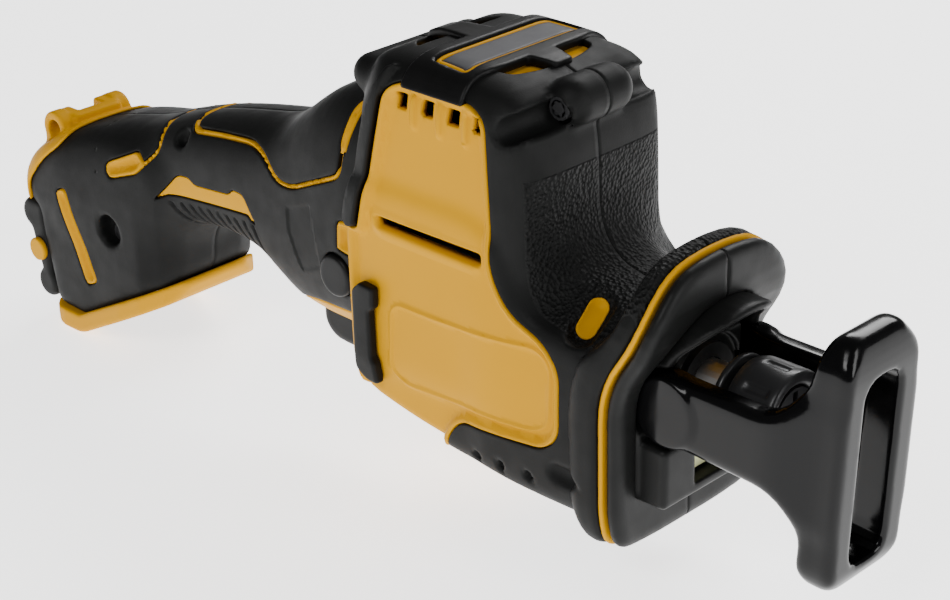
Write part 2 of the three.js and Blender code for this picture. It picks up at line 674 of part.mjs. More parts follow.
place('shaft_yoke', shaftYoke(), steel());
place('front_bushing', turnedX(ringProfile(SHAFT_RADIUS + GAP, 10, 83, 99.6), 24), steel());
place('shaft_seal', turnedX(ringProfile(SHAFT_RADIUS + GAP, 10, 99.9, 103), 24), rubber());
place('clamp_disc', clampDisc(), steel());
place('clamp_core', clampCore(), steel());
place('clamp_spring', clampSpring(), steel());
place('clamp_collar', clampCollar(), blackPlastic());
place('led_lens', ledLens(), lens());
place('trigger', trigger(), blackPlastic());
place('trigger_spring', triggerSpring(), steel());
place('lock_button', lockButton(), blackPlastic());
place('switch_body', box(-33, -12.6, -7.5, 7.5, 50.4, 66), blackPlastic());
place('control_board', controlBoard(), board());
place('terminal_block', terminalBlock(), blackPlastic());
place('terminal_positive', terminalBlade(-6), copper());
place('terminal_negative', terminalBlade(6), copper());
place('motor_lead_1', motorLead(-4), rubber());
place('motor_lead_2', motorLead(0), rubber());
place('motor_lead_3', motorLead(4), rubber());
place('upper_bearing_mount', turnedZ(ringProfile(8 + GAP, 10.5, 115, 119.5), MOTOR_X, 0, 16), rubber());
place('side_pad_right', sidePad(-1), rubber());
place('side_pad_left', sidePad(1), rubber());
SCREWS.forEach(([x, z, seat], i) => place(`housing_screw_${i + 1}`, housingScrew(x, z, seat), steel()));

export default saw;
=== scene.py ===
"""One-handed cordless reciprocating saw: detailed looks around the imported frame.

The housing is an implicit form (smooth unions of outlines) that is meshed once, cut along its feature
lines and then lifted or sunk, so that the rubber, the yellow shell, vents and pinstripes are real geometry.
Lengths in this file are millimetres until a mesh is made.
"""
import json
import math

import bpy
import numpy as np
from mathutils import Matrix, Vector


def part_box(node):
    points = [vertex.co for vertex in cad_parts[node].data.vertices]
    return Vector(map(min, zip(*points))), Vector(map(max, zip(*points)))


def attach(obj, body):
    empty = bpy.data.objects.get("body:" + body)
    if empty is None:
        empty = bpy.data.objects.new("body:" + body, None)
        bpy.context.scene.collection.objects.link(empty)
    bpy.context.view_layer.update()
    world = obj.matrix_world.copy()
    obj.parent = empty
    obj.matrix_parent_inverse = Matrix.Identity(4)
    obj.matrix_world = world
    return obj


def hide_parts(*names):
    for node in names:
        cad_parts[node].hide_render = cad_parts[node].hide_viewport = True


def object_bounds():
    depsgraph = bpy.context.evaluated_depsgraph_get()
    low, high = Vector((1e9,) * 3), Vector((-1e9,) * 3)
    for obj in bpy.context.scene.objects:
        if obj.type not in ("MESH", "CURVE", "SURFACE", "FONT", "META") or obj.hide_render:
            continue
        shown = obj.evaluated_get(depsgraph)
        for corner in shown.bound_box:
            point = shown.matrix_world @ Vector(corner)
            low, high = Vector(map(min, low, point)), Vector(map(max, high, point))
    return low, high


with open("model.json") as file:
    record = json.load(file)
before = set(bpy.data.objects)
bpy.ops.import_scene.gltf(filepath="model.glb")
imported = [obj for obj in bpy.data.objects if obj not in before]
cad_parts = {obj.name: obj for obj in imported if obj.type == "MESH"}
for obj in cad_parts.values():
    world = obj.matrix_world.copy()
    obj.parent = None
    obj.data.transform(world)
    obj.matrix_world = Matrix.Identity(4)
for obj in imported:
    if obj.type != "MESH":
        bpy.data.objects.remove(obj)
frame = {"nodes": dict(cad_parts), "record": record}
cad_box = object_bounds()
MM = 0.001


# ---------------------------------------------------------------- places taken from the frame
def box(node):
    low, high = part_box(node)
    return np.array(low) / MM, np.array(high) / MM


def middle(node):
    low, high = box(node)
    return (low + high) / 2


SHAFT_Z = middle("reciprocating_shaft")[2]
PIVOT_X = middle("shoe_pin_right")[0]
TOP_Z = box("top_plate")[1][2] - 0.8
LOCK_X, _, LOCK_Z = middle("lock_button")


# ---------------------------------------------------------------- outlines and fields
def rounded(corners, steps=5):
    """Corners (a, b, radius) as a closed polyline with curved corners."""
    line = []
    count = len(corners)
    for i, (a, b, radius) in enumerate(corners):
        corner = np.array((a, b), float)
        before = np.array(corners[i - 1][:2], float) - corner
        after = np.array(corners[(i + 1) % count][:2], float) - corner
        reach = min(radius, np.linalg.norm(before) * 0.49, np.linalg.norm(after) * 0.49)
        start = corner + before / np.linalg.norm(before) * reach
        end = corner + after / np.linalg.norm(after) * reach
        if reach < 0.01:
            line.append(corner)
            continue
        for t in np.linspace(0, 1, steps):
            line.append(start * (1 - t) ** 2 + corner * 2 * t * (1 - t) + end * t * t)
    return np.array(line)


def open_path(points, steps=6):
    """Points (a, b, radius) as an open polyline with curved corners."""
    first, last = points[0], points[-1]
    return rounded([(first[0], first[1], 0), *points[1:-1], (last[0], last[1], 0)], steps)


def segment_distance(line, closed, a, b):
    a, b = np.broadcast_arrays(a, b)
    best = np.full(a.shape, 1e9)
    ends = np.roll(line, -1, 0) if closed else line[1:]
    for (ax, ay), (bx, by) in zip(line, ends):
        ex, ey = bx - ax, by - ay
        t = np.clip(((a - ax) * ex + (b - ay) * ey) / (ex * ex + ey * ey + 1e-12), 0, 1)
        best = np.minimum(best, (a - ax - t * ex) ** 2 + (b - ay - t * ey) ** 2)
    return np.sqrt(best)


def outline(corners, steps=5):
    """Signed distance to a closed outline, negative inside, as a function of two coordinates."""
    line = rounded(corners, steps)

    def distance(a, b):
        a, b = np.broadcast_arrays(a, b)
        inside = np.zeros(a.shape, bool)
        for (ax, ay), (bx, by) in zip(line, np.roll(line, -1, 0)):
            if ay == by:
                continue
            inside ^= ((ay > b) != (by > b)) & (a < (bx - ax) * (b - ay) / (by - ay) + ax)
        return np.where(inside, -1, 1) * segment_distance(line, True, a, b)

    return distance


def stroke(points, half_width):
    """Signed distance to a drawn line of a given half width."""
    line = open_path(points)
    return lambda a, b: segment_distance(line, False, a, b) - half_width


def smooth_max(a, b, k):
    h = np.maximum(k - np.abs(a - b), 0) / k
    return np.maximum(a, b) + h * h * k / 4


def smooth_min(a, b, k):
    return -smooth_max(-a, -b, k)


def capsule(start, end, radius):
    start, end = np.array(start, float), np.array(end, float)
    along = end - start

    def distance(x, y, z):
        t = (x - start[0]) * along[0] + (y - start[1]) * along[1] + (z - start[2]) * along[2]
        t = np.clip(t / (along @ along + 1e-12), 0, 1)
        dx, dy, dz = x - start[0] - t * along[0], y - start[1] - t * along[1], z - start[2] - t * along[2]
        return np.sqrt(dx * dx + dy * dy + dz * dz) - radius

    return distance


def block(low, high, radius=0.0):
    """Box with rounded edges."""
    low, high = np.array(low, float), np.array(high, float)
    centre, half = (low + high) / 2, (high - low) / 2 - radius

    def distance(x, y, z):
        qx = np.abs(x - centre[0]) - half[0]
        qy = np.abs(y - centre[1]) - half[1]
        qz = np.abs(z - centre[2]) - half[2]
        outer = np.sqrt(np.maximum(qx, 0) ** 2 + np.maximum(qy, 0) ** 2 + np.maximum(qz, 0) ** 2)
        return outer + np.minimum(np.maximum(np.maximum(qx, qy), qz), 0) - radius

    return distance


def tube_x(y0, z0, radius):
    return lambda x, y, z: np.sqrt((y - y0) ** 2 + (z - z0) ** 2) - radius + 0 * x


def tube_y(x0, z0, radius):
    return lambda x, y, z: np.sqrt((x - x0) ** 2 + (z - z0) ** 2) - radius + 0 * y


# ---------------------------------------------------------------- meshing
def surface_net(values, low, step):
    """Closed quad mesh of the zero level of a grid of values (negative inside)."""
    cells = np.array(values.shape) - 1
    total = np.zeros((*cells, 3), np.float32)
    count = np.zeros(cells, np.float32)
    crossings = []
    for axis in range(3):
        u, v = (axis + 1) % 3, (axis + 2) % 3
        first = np.moveaxis(values, (axis, u, v), (0, 1, 2))
        a, b = first[:-1], first[1:]
        crossing = (a < 0) != (b < 0)
        with np.errstate(divide="ignore", invalid="ignore"):
            t = np.where(crossing, a / (a - b), 0)
        crossings.append((crossing, a < 0))
        cell_total = np.moveaxis(total, (axis, u, v), (0, 1, 2))
        cell_count = np.moveaxis(count, (axis, u, v), (0, 1, 2))
        for du in (0, 1):
            for dv in (0, 1):
                part = (slice(None), slice(du, du + cells[u]), slice(dv, dv + cells[v]))
                hit = crossing[part]
                cell_count += hit
                cell_total[..., axis] += t[part]
                cell_total[..., u] += hit * du
                cell_total[..., v] += hit * dv
    used = count > 0
    index = np.full(cells, -1, np.int64)
    index[used] = np.arange(used.sum())
    where = np.argwhere(used)
    points = (where + total[used] / count[used][:, None]) * step + np.array(low)
    quads = []
    for axis in range(3):
        u, v = (axis + 1) % 3, (axis + 2) % 3
        crossing, starts_inside = crossings[axis]
        hits = np.argwhere(crossing[:, 1:-1, 1:-1]) + (0, 1, 1)
        cell = np.moveaxis(index, (axis, u, v), (0, 1, 2))
        i, j, k = hits.T
        quad = np.stack([cell[i, j - 1, k - 1], cell[i, j, k - 1], cell[i, j, k], cell[i, j - 1, k]], 1)
        flip = ~starts_inside[i, j, k]
        quad[flip] = quad[flip][:, ::-1]
        quads.append(quad)
    return points, np.concatenate(quads)


def gradient(field, p, step=0.05):
    out = np.zeros_like(p)
    for axis in range(3):
        shift = np.zeros(3)
        shift[axis] = step
        a, b = p + shift, p - shift
        out[:, axis] = (field(*a.T) - field(*b.T)) / (2 * step)
    return out


def settle(field, p, rounds=2):
    """Moves points onto the zero level of a field."""
    for _ in range(rounds):
        g = gradient(field, p)
        size = np.maximum((g * g).sum(1), 0.05)
        move = (field(*p.T) / size)[:, None] * g
        length = np.linalg.norm(move, axis=1, keepdims=True)
        p = p - move * np.minimum(1, 0.8 / np.maximum(length, 1e-9))
    return p


def net_of(field, low, high, step, rounds=2):
    """Points and quads of a field's zero level inside a box."""
    axes = [np.arange(low[i] - 2 * step, high[i] + 2.5 * step, step) for i in range(3)]
    x, y, z = axes[0][:, None, None], axes[1][None, :, None], axes[2][None, None, :]
    values = np.broadcast_to(field(x, y, z), [len(a) for a in axes]).astype(np.float32)
    points, quads = surface_net(values, [a[0] for a in axes], step)
    return settle(field, points.astype(float), rounds), quads


def triangles_of(quads):
    return np.concatenate([quads[:, [0, 1, 2]], quads[:, [0, 2, 3]]])


# ---------------------------------------------------------------- cutting a mesh along feature lines
class Skin:
    """A triangle mesh that can be cut exactly along the level lines of masks."""

    def __init__(self, points, faces, base):
        self.p, self.f, self.base = points, faces, base
        self.locked = np.zeros(len(points), bool)

    def cut(self, mask, level, snap=0.32):
        p, f = self.p, self.f
        value = mask(*p.T) - level
        near = (np.abs(value) < snap) & ~self.locked
        if near.any():
            q = p[near]
            g = gradient(mask, q)
            normal = gradient(self.base, q)
            normal /= np.linalg.norm(normal, axis=1, keepdims=True) + 1e-9
            g -= (g * normal).sum(1, keepdims=True) * normal
            size = (g * g).sum(1)
            ok = size > 0.15
            move = np.where(ok, value[near] / np.maximum(size, 0.15), 0)[:, None] * g
            p[near] = q - move
            value[near] = np.where(ok, mask(*p[near].T) - level, value[near])
        value[np.abs(value) < 0.03] = 0
        sign = np.sign(value).astype(int)
        s = sign[f]
        crossing = (s.min(1) < 0) & (s.max(1) > 0)
        if not crossing.any():
            self.locked |= value == 0
            return
        keep, split = f[~crossing], f[crossing]
        s = s[crossing]
        edges = np.concatenate([split[:, [0, 1]], split[:, [1, 2]], split[:, [2, 0]]])
        es = np.concatenate([s[:, [0, 1]], s[:, [1, 2]], s[:, [2, 0]]])
        cross = es[:, 0] * es[:, 1] < 0
        key = np.sort(edges, 1)
        code = key[:, 0] * len(p) + key[:, 1]
        unique, inverse = np.unique(code[cross], return_inverse=True)
        a, b = unique // len(p), unique % len(p)
        t = (value[a] / (value[a] - value[b]))[:, None]
        fresh = p[a] * (1 - t) + p[b] * t
        number = np.full(len(code), -1)
        number[cross] = len(p) + inverse
        number = number.reshape(3, -1).T
        self.p = np.concatenate([p, fresh])
        self.locked = np.concatenate([self.locked | (value == 0), np.ones(len(fresh), bool)])
        out = [keep]
        for turn in range(3):
            i, j, k = turn, (turn + 1) % 3, (turn + 2) % 3
            vi, vj, vk = split[:, i], split[:, j], split[:, k]
            si, sj, sk = s[:, i], s[:, j], s[:, k]
            alone = (si * sj < 0) & (si * sk < 0)
            m, n = number[:, i], number[:, k]
            out.append(np.stack([vi, m, n], 1)[alone])
            out.append(np.stack([m, vj, vk], 1)[alone])
            out.append(np.stack([m, vk, n], 1)[alone])
            level_corner = (si == 0) & (sj * sk < 0)
            o = number[:, j]
            out.append(np.stack([vi, vj, o], 1)[level_corner])
            out.append(np.stack([vi, o, vk], 1)[level_corner])
        self.f = np.concatenate(out)

    def centres(self):
        return self.p[self.f].mean(1)


def compact(points, faces):
    used = np.unique(faces)
    index = np.full(len(points), -1)
    index[used] = np.arange(len(used))
    return used, index[faces]


def thick(outer, faces, normals, depth):
    """Closes a sheet into a solid: the outer sheet, an inner copy and walls along its borders."""
    used, f = compact(outer, faces)
    outer, n = outer[used], normals[used]
    edges = np.concatenate([f[:, [0, 1]], f[:, [1, 2]], f[:, [2, 0]]])
    code = edges[:, 0] * len(outer) + edges[:, 1]
    back = edges[:, 1] * len(outer) + edges[:, 0]
    rim = edges[~np.isin(code, back)]
    count = len(outer)
    inner = outer - n * depth
    walls = np.stack([rim[:, 1], rim[:, 0], rim[:, 0] + count, rim[:, 1] + count], 1)
    faces = [f.tolist(), (f[:, ::-1] + count).tolist(), walls.tolist()]
    return np.concatenate([outer, inner]), faces[0] + faces[1] + faces[2]


def make(name, points, faces, material, body, stands_for=(), mirror=False):
    """A finished piece from points in millimetres."""
    points = np.asarray(points, float)
    if mirror:
        points = points * (1, -1, 1)
        faces = [list(face)[::-1] for face in faces]
    mesh = bpy.data.meshes.new(name)
    mesh.from_pydata((points * MM).tolist(), [], [list(map(int, face)) for face in faces])
    mesh.validate()
    mesh.polygons.foreach_set("use_smooth", [True] * len(mesh.polygons))
    mesh.update()
    piece = bpy.data.objects.new(name, mesh)
    bpy.context.scene.collection.objects.link(piece)
    mesh.materials.append(material)
    if stands_for:
        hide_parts(*stands_for)
    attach(piece, body)
    return piece


# ---------------------------------------------------------------- materials
def new_material(name, color, roughness, metallic=0.0):
    material = bpy.data.materials.new(name)
    material.use_nodes = True
    shader = material.node_tree.nodes["Principled BSDF"]
    shader.inputs["Base Color"].default_value = (*color, 1)
    shader.inputs["Roughness"].default_value = roughness
    shader.inputs["Metallic"].default_value = metallic
    return material, material.node_tree, shader


def add(tree, kind, **settings):
    node = tree.nodes.new(kind)
    for key, value in settings.items():
        if isinstance(value, (int, float, tuple)) and key in node.inputs:
            node.inputs[key].default_value = value
        else:
            setattr(node, key, value)
    return node


def noise(tree, scale, detail=4.0, roughness=0.5):
    coordinates = add(tree, "ShaderNodeTexCoord")
    node = add(tree, "ShaderNodeTexNoise")
    node.inputs["Scale"].default_value = scale
    node.inputs["Detail"].default_value = detail
    node.inputs["Roughness"].default_value = roughness
    tree.links.new(coordinates.outputs["Object"], node.inputs["Vector"])
    return node


def ramp(tree, source, stops):
    node = add(tree, "ShaderNodeValToRGB")
    elements = node.color_ramp.elements
    for i, (position, value) in enumerate(stops):
        element = elements[i] if i < 2 else elements.new(position)
        element.position = position
        element.color = (*value, 1) if isinstance(value, tuple) else (value, value, value, 1)
    tree.links.new(source, node.inputs["Fac"])
    return node


def leather(material, low, high):
    """Coarse grain inside one box of the object's own space, added to the fine one."""
    tree = material.node_tree
    shader = tree.nodes["Principled BSDF"]
    fine_normal = shader.inputs["Normal"].links[0].from_socket
    coordinates = add(tree, "ShaderNodeTexCoord")
    split = add(tree, "ShaderNodeSeparateXYZ")
    tree.links.new(coordinates.outputs["Object"], split.inputs["Vector"])
    inside = None
    for axis in range(3):
        for limit, side_sign in ((low[axis], 1), (high[axis], -1)):
            edge = add(tree, "ShaderNodeMapRange")
            edge.interpolation_type = "SMOOTHSTEP"
            edge.inputs["From Min"].default_value = (limit - 0.3 * side_sign) * MM
            edge.inputs["From Max"].default_value = (limit + 0.3 * side_sign) * MM
            tree.links.new(split.outputs[axis], edge.inputs["Value"])
            if inside is None:
                inside = edge.outputs["Result"]
                continue
            both = add(tree, "ShaderNodeMath", operation="MULTIPLY")
            tree.links.new(inside, both.inputs[0])
            tree.links.new(edge.outputs["Result"], both.inputs[1])
            inside = both.outputs["Value"]
    grain = add(tree, "ShaderNodeTexVoronoi")
    grain.inputs["Scale"].default_value = 950
    tree.links.new(coordinates.outputs["Object"], grain.inputs["Vector"])
    height = add(tree, "ShaderNodeMath", operation="MULTIPLY")
    tree.links.new(grain.outputs["Distance"], height.inputs[0])
    tree.links.new(inside, height.inputs[1])
    relief = add(tree, "ShaderNodeBump")
    relief.inputs["Strength"].default_value = 0.9
    relief.inputs["Distance"].default_value = 0.0006
    tree.links.new(height.outputs["Value"], relief.inputs["Height"])
    tree.links.new(fine_normal, relief.inputs["Normal"])
    tree.links.new(relief.outputs["Normal"], shader.inputs["Normal"])


def textured(name, color, roughness, grain=2500, bump=0.1, spread=0.06, metallic=0.0, depth=0.0001,
             gleam=0.3):
    """Moulded surface: fine grain in bump, slow variation in colour and gloss."""
    material, tree, shader = new_material(name, color, roughness, metallic)
    shader.inputs["Specular IOR Level"].default_value = gleam
    slow = noise(tree, 35, 3)
    shade = ramp(tree, slow.outputs["Fac"], [
        (0.3, tuple(c * (1 - spread) for c in color)),
        (0.7, tuple(min(1, c * (1 + spread)) for c in color))])
    tree.links.new(shade.outputs["Color"], shader.inputs["Base Color"])
    medium = noise(tree, 160, 5)
    gloss = ramp(tree, medium.outputs["Fac"], [(0.3, roughness - 0.05), (0.7, roughness + 0.06)])
    tree.links.new(gloss.outputs["Color"], shader.inputs["Roughness"])
    fine = noise(tree, grain, 2)
    relief = add(tree, "ShaderNodeBump")
    relief.inputs["Strength"].default_value = bump
    relief.inputs["Distance"].default_value = depth
    tree.links.new(fine.outputs["Fac"], relief.inputs["Height"])
    tree.links.new(relief.outputs["Normal"], shader.inputs["Normal"])
    return material


YELLOW = textured("yellow_housing", (0.56, 0.27, 0.0), 0.4, grain=2600, bump=0.16, spread=0.02,
                  gleam=0.04)
RUBBER = textured("black_overmould", (0.0045, 0.0047, 0.0045), 0.55, grain=2300, bump=0.3, spread=0.1,
                  gleam=0.12)
leather(RUBBER, (58.5, -24.5, 60), (110, 24.5, 104))
GUARD = textured("guard_plastic", (0.005, 0.0052, 0.005), 0.46, grain=2600, bump=0.18, spread=0.08,
                 gleam=0.14)
TRIM = textured("trim_plastic", (0.003, 0.003, 0.003), 0.42, grain=2400, bump=0.2, spread=0.08,
                gleam=0.14)
PLATE_GREY = textured("plate_grey", (0.05, 0.05, 0.055), 0.5, grain=2400, bump=0.1, spread=0.05)
SHOE = textured("shoe_coating", (0.0015, 0.0015, 0.0017), 0.16, grain=900, bump=0.03, spread=0.1,
                gleam=0.18)
DARK = textured("clamp_steel", (0.025, 0.025, 0.026), 0.34, grain=1500, bump=0.1, spread=0.1, metallic=0.4)
STEEL = textured("ground_steel", (0.62, 0.60, 0.58), 0.42, grain=1500, bump=0.08, spread=0.05,
                 metallic=1.0)
COPPER = textured("copper", (0.62, 0.33, 0.18), 0.35, grain=1500, bump=0.1, spread=0.05, metallic=1.0)
ALLOY = textured("die_cast", (0.55, 0.56, 0.57), 0.5, grain=700, bump=0.2, spread=0.06, metallic=1.0)
BOARD = textured("circuit_board", (0.02, 0.14, 0.06), 0.4, grain=800, bump=0.1, spread=0.1)
SEAL = textured("seal_rubber", (0.008, 0.008, 0.008), 0.6, grain=1500, bump=0.2, spread=0.1)
LENS = textured("lens", (0.80, 0.82, 0.45), 0.12, grain=900, bump=0.05, spread=0.05)


# ---------------------------------------------------------------- housing form
HOUSING_SIDE = outline([
    (5.5, 40, 8), (5.5, 100, 20), (7, 117, 14), (15, 126.5, 12), (36, TOP_Z + 0.4, 30),
    (60, 126, 13), (68.5, 112, 20), (70, 84, 10), (72, 40, 8)])
HOUSING_FRONT = outline([
    (-29, 20, 2), (29, 20, 2), (30, 80, 20), (27.6, 119, 8), (20, TOP_Z, 14), (-20, TOP_Z, 14),
    (-27.6, 119, 8), (-30, 80, 20)], 8)
LOWER_SIDE = outline([
    (5.5, 30.5, 8), (30, 25, 20), (64, 20, 14), (92, 20, 4), (92, 56, 4), (86, 66, 6), (64, 70, 16),
    (56, 90, 12), (6, 90, 4)])
LOWER_FRONT = outline([
    (-19, 18, 6), (19, 18, 6), (28.8, 24, 9), (30, 80, 10), (29, 100, 4), (-29, 100, 4), (-30, 80, 10),
    (-28.8, 24, 9)], 8)
LOWER_PLAN = outline([
    (5.5, -30.4, 3.5), (60, -30.4, 16), (84, -26.5, 10), (92, -24, 2), (92, 24, 2), (84, 26.5, 10),
    (60, 30.4, 16), (5.5, 30.4, 3.5)])
NECK_SIDE = outline([(60, 30, 8), (102, 26, 2), (102, 76, 2), (86, 76.5, 8), (60, 84, 8)])
NECK_FRONT = outline([
    (-19, 24, 9), (19, 24, 9), (21.5, 50, 10), (19.5, 68, 8), (11, 78, 9), (-11, 78, 9), (-19.5, 68, 8),
    (-21.5, 50, 10)])
# Stations along the grip: x, bottom z, top z, half width.
GRIP_SECTIONS = np.array([
    (-150, 41, 54, 13), (-138, 33, 59, 17), (-125, 32, 64, 17.6), (-110, 36, 69.5, 17.6), (-95, 42, 75, 17.2),
    (-80, 46, 80, 17.2), (-65, 48, 83.6, 17.5), (-50, 47, 86.6, 17.8), (-42, 43.5, 88, 18.2),
    (-34, 37, 91.5, 19), (-26, 35, 98.5, 20), (-14, 35, 106, 21.5), (0, 35, 109, 22.6),
    (14, 35, 109.5, 23)], float)
FOOT_SIDE = outline([
    (-126, 5.5, 2), (-88.6, 25.6, 3), (-85.6, 30, 3), (-84, 44, 8), (-84, 58, 10), (-112, 66, 10),
    (-132, 62, 12), (-145, 55, 10), (-151, 46, 6), (-150.5, 38, 4), (-146, 36, 3), (-140, 6, 4)])
FOOT_FRONT = outline([(-22.4, 0, 2), (22.4, 0, 2), (22, 36, 14), (18, 56, 18), (12, 70, 10), (-12, 70, 10),
                      (-18, 56, 18), (-22, 36, 14)], 8)
FOOT_PLAN = outline([(-152, -22.6, 6), (-84.6, -22.6, 21), (-84.6, 22.6, 21), (-152, 22.6, 6)])
REAR_EDGE_Z, REAR_EDGE_X = (70, 79, 109, 122), (-2, 7.5, 14.4, 20)
COLUMN_POWER, OVAL_POWER = 4.5, 2.7          # how square the column's plan and the grip's section are


def housing(x, y, z):
    """The motor housing: a rounded column over a wider lower case, its rear edges leaning forward."""
    across = np.abs(y)
    plan = (np.abs((x - 37) / 32) ** COLUMN_POWER + (across / 31.5) ** COLUMN_POWER) ** (1 / COLUMN_POWER)
    column = smooth_max(HOUSING_SIDE(x, z), (plan - 1) * 30, 5)
    column = smooth_max(column, HOUSING_FRONT(y, z), 6)
    edge = np.interp(z, REAR_EDGE_Z, REAR_EDGE_X)
    return smooth_max(column, (across - 30 + edge - x) * 0.7, 3)


def lower_case(x, y, z):
    return smooth_max(smooth_max(LOWER_SIDE(x, z), LOWER_FRONT(y, z), 4), LOWER_PLAN(x, y), 4)


def neck(x, y, z):
    return smooth_max(NECK_SIDE(x, z), NECK_FRONT(y, z), 6)


def grip(x, y, z):
    """Square-cornered ovals between stations, blended along the grip."""
    s = GRIP_SECTIONS
    xs = np.clip(x, s[0, 0], s[-1, 0])

    def along(column):
        soft = sum(np.interp(xs + shift, s[:, 0], s[:, column]) for shift in (-6, -3, 0, 3, 6))
        return soft / 5

    bottom, top, half = along(1), along(2), along(3)
    height = (z - (bottom + top) / 2) / ((top - bottom) / 2)
    ratio = (np.abs(y / half) ** OVAL_POWER + np.abs(height) ** OVAL_POWER) ** (1 / OVAL_POWER)
    oval = (ratio - 1) * 18
    return smooth_max(oval, np.maximum(s[0, 0] + 4 - x, x - 16), 6)


def foot(x, y, z):
    return smooth_max(smooth_max(FOOT_SIDE(x, z), FOOT_FRONT(y, z), 5), FOOT_PLAN(x, y), 3)


BOSS_X, BOSS_Z = 65.0, 119.5
front_boss = capsule((BOSS_X, -6, BOSS_Z), (BOSS_X, 10, BOSS_Z), 6.2)
boss_channel = capsule((BOSS_X - 4, -29, BOSS_Z - 3.5), (BOSS_X - 0.4, -10.6, BOSS_Z - 1.5), 3.5)
rear_boss = capsule((7, -17, 116), (7, 17, 116), 5.2)
teardrop_scoop = capsule((82.7, -23.6, 70.6), (82.7, -17.1, 75.2), 4.2)
foot_dimple = capsule((-108.6, -28, 38.6), (-108.6, -19, 40), 4.8)
grip_hole = capsule((-78, -25, 77.7), (-78, -14, 75.2), 2.7)
slot_hole = capsule((-74, -25, 46.5), (-74, -12, 48.5), 2.2)
low_scoop = capsule((79, -29.6, 31.8), (87, -28.6, 31.2), 3.2)
DIMPLE_PLACES = ((51, 27.6), (59.6, 28), (68.8, 28.6))
LOW_DIMPLES = [capsule((x, -31, z), (x + 0.8, -27.8, z - 0.8), 1.3) for x, z in DIMPLE_PLACES]


def base(x, y, z):
    """The outer skin of the whole tool, with its sunk screw recesses."""
    body = smooth_min(housing(x, y, z), lower_case(x, y, z), 5)
    body = smooth_min(body, neck(x, y, z), 16)
    body = smooth_min(body, front_boss(x, y, z), 1.6)
    body = smooth_min(body, rear_boss(x, y, z), 3)
    handle = smooth_min(grip(x, y, z), foot(x, y, z), 12)
    form = smooth_min(body, handle, 3.5)
    form = smooth_max(form, -boss_channel(x, y, z), 0.5)
    form = smooth_max(form, -teardrop_scoop(x, y, z), 0.8)
    form = smooth_max(form, -foot_dimple(x, y, z), 1.2)
    form = smooth_max(form, -grip_hole(x, y, z), 0.8)
    form = smooth_max(form, -low_scoop(x, y, z), 0.8)
    for dimple in LOW_DIMPLES:
        form = smooth_max(form, -dimple(x, y, z), 0.5)
    return smooth_max(form, -slot_hole(x, y, z), 0.8)


# ---------------------------------------------------------------- feature lines of the housing
def side(shape):
    return lambda x, y, z: shape(x, z) + 0 * y


def on_top(shape, floor_z=119):
    return lambda x, y, z: np.maximum(shape(x, np.abs(y)), floor_z - z)


def least(*masks):
    return lambda x, y, z: np.minimum.reduce([mask(x, y, z) for mask in masks])


PANEL = side(outline([
    (6.4, 15, 0), (6.4, 79, 1), (11.4, 78.6, 1.5), (20.6, 118, 4.5), (26, 121, 4), (50, 120.5, 4),
    (55.6, 117.5, 4), (57.4, 96, 8), (58.6, 80, 10), (64.5, 71, 10), (75.5, 66.0, 6), (80.0, 60, 6),
    (79.8, 42, 6), (75, 37, 5), (62, 36, 6), (46, 34.6, 5), (41, 28, 4), (38, 15, 0)]))
REAR_LOOP = side(stroke([
    (-98, 84, 0), (-93, 77.5, 3), (-88.2, 73.6, 3), (-87.6, 69.4, 2), (-95, 62, 0)], 0.75))
LOZENGE = side(outline([
    (-94.6, 61, 2), (-92.2, 65, 1), (-96.2, 67.6, 1.5), (-110, 61, 2.5), (-107.8, 56.2, 3)]))
PALM_LINE = side(stroke([
    (-79.6, 90, 0), (-79.2, 81.4, 3), (-75, 78.2, 3), (-60, 80.7, 4), (-46.7, 82.2, 4), (-40, 80.6, 3),
    (-32, 75.8, 4), (-25.4, 76.2, 3), (-3.6, 86, 3), (-3.2, 95, 0)], 0.75))
WINDOW = side(outline([(-4.6, 94, 1), (-1.8, 92, 0.8), (0.4, 106, 1), (-0.5, 108, 1), (-3.8, 103.5, 1.5)]))
PLATE = side(outline([
    (-87.6, 55, 0.6), (-84, 56.6, 0.6), (-82.6, 57.4, 1), (-46.6, 61.2, 1), (-45.6, 59.6, 0.5),
    (-43.6, 59.4, 0.5), (-48.6, 67, 1.6), (-53.2, 67.2, 1), (-55.4, 65.2, 1), (-70.6, 63.6, 1),
    (-73.4, 65.2, 1), (-78.8, 64.6, 2)]))
SHOULDER = side(outline([(-5.2, 65, 1), (6, 63.6, 0), (6, 75, 0), (-4.6, 73.6, 1.5)]))
THROAT = side(outline([
    (-36, 33.5, 1), (-34, 39.5, 1), (-22, 43.6, 8), (6, 46, 0), (6, 20, 0), (-34, 20, 0)]))
STRIP = side(outline([(-134.2, 46.2, 2.2), (-129.0, 48, 2.2), (-116.8, 20, 2.2), (-122.2, 17.2, 2.2)]))
TOP_VENT_FRONT = on_top(outline([
    (47.5, -30, 0), (47.5, 15.4, 1), (52.6, 14.6, 2), (55, 7, 4), (55.6, -30, 0)]))
TOP_VENT_REAR = on_top(outline([(21, -30, 0), (12.6, -30, 0), (13.4, 5, 3), (16.8, 11.5, 3), (21, 15, 1)]))
exposed = least(PANEL, REAR_LOOP, LOZENGE, PALM_LINE, WINDOW, PLATE, SHOULDER, THROAT, STRIP,
                TOP_VENT_FRONT, TOP_VENT_REAR)

VENT_STARTS = (24.0, 32.4, 41.2, 50.2)
VENT_WIDTHS = (3.8, 4.5, 4.6, 3.4)
VENT_Z = (113.3, 118.1)


def vent(start, width):
    return side(outline([(start, VENT_Z[0], 0.5), (start + width, VENT_Z[0], 0.5),
                         (start + width, VENT_Z[1], 0.5), (start + 0.3, VENT_Z[1], 0.5)], 3))


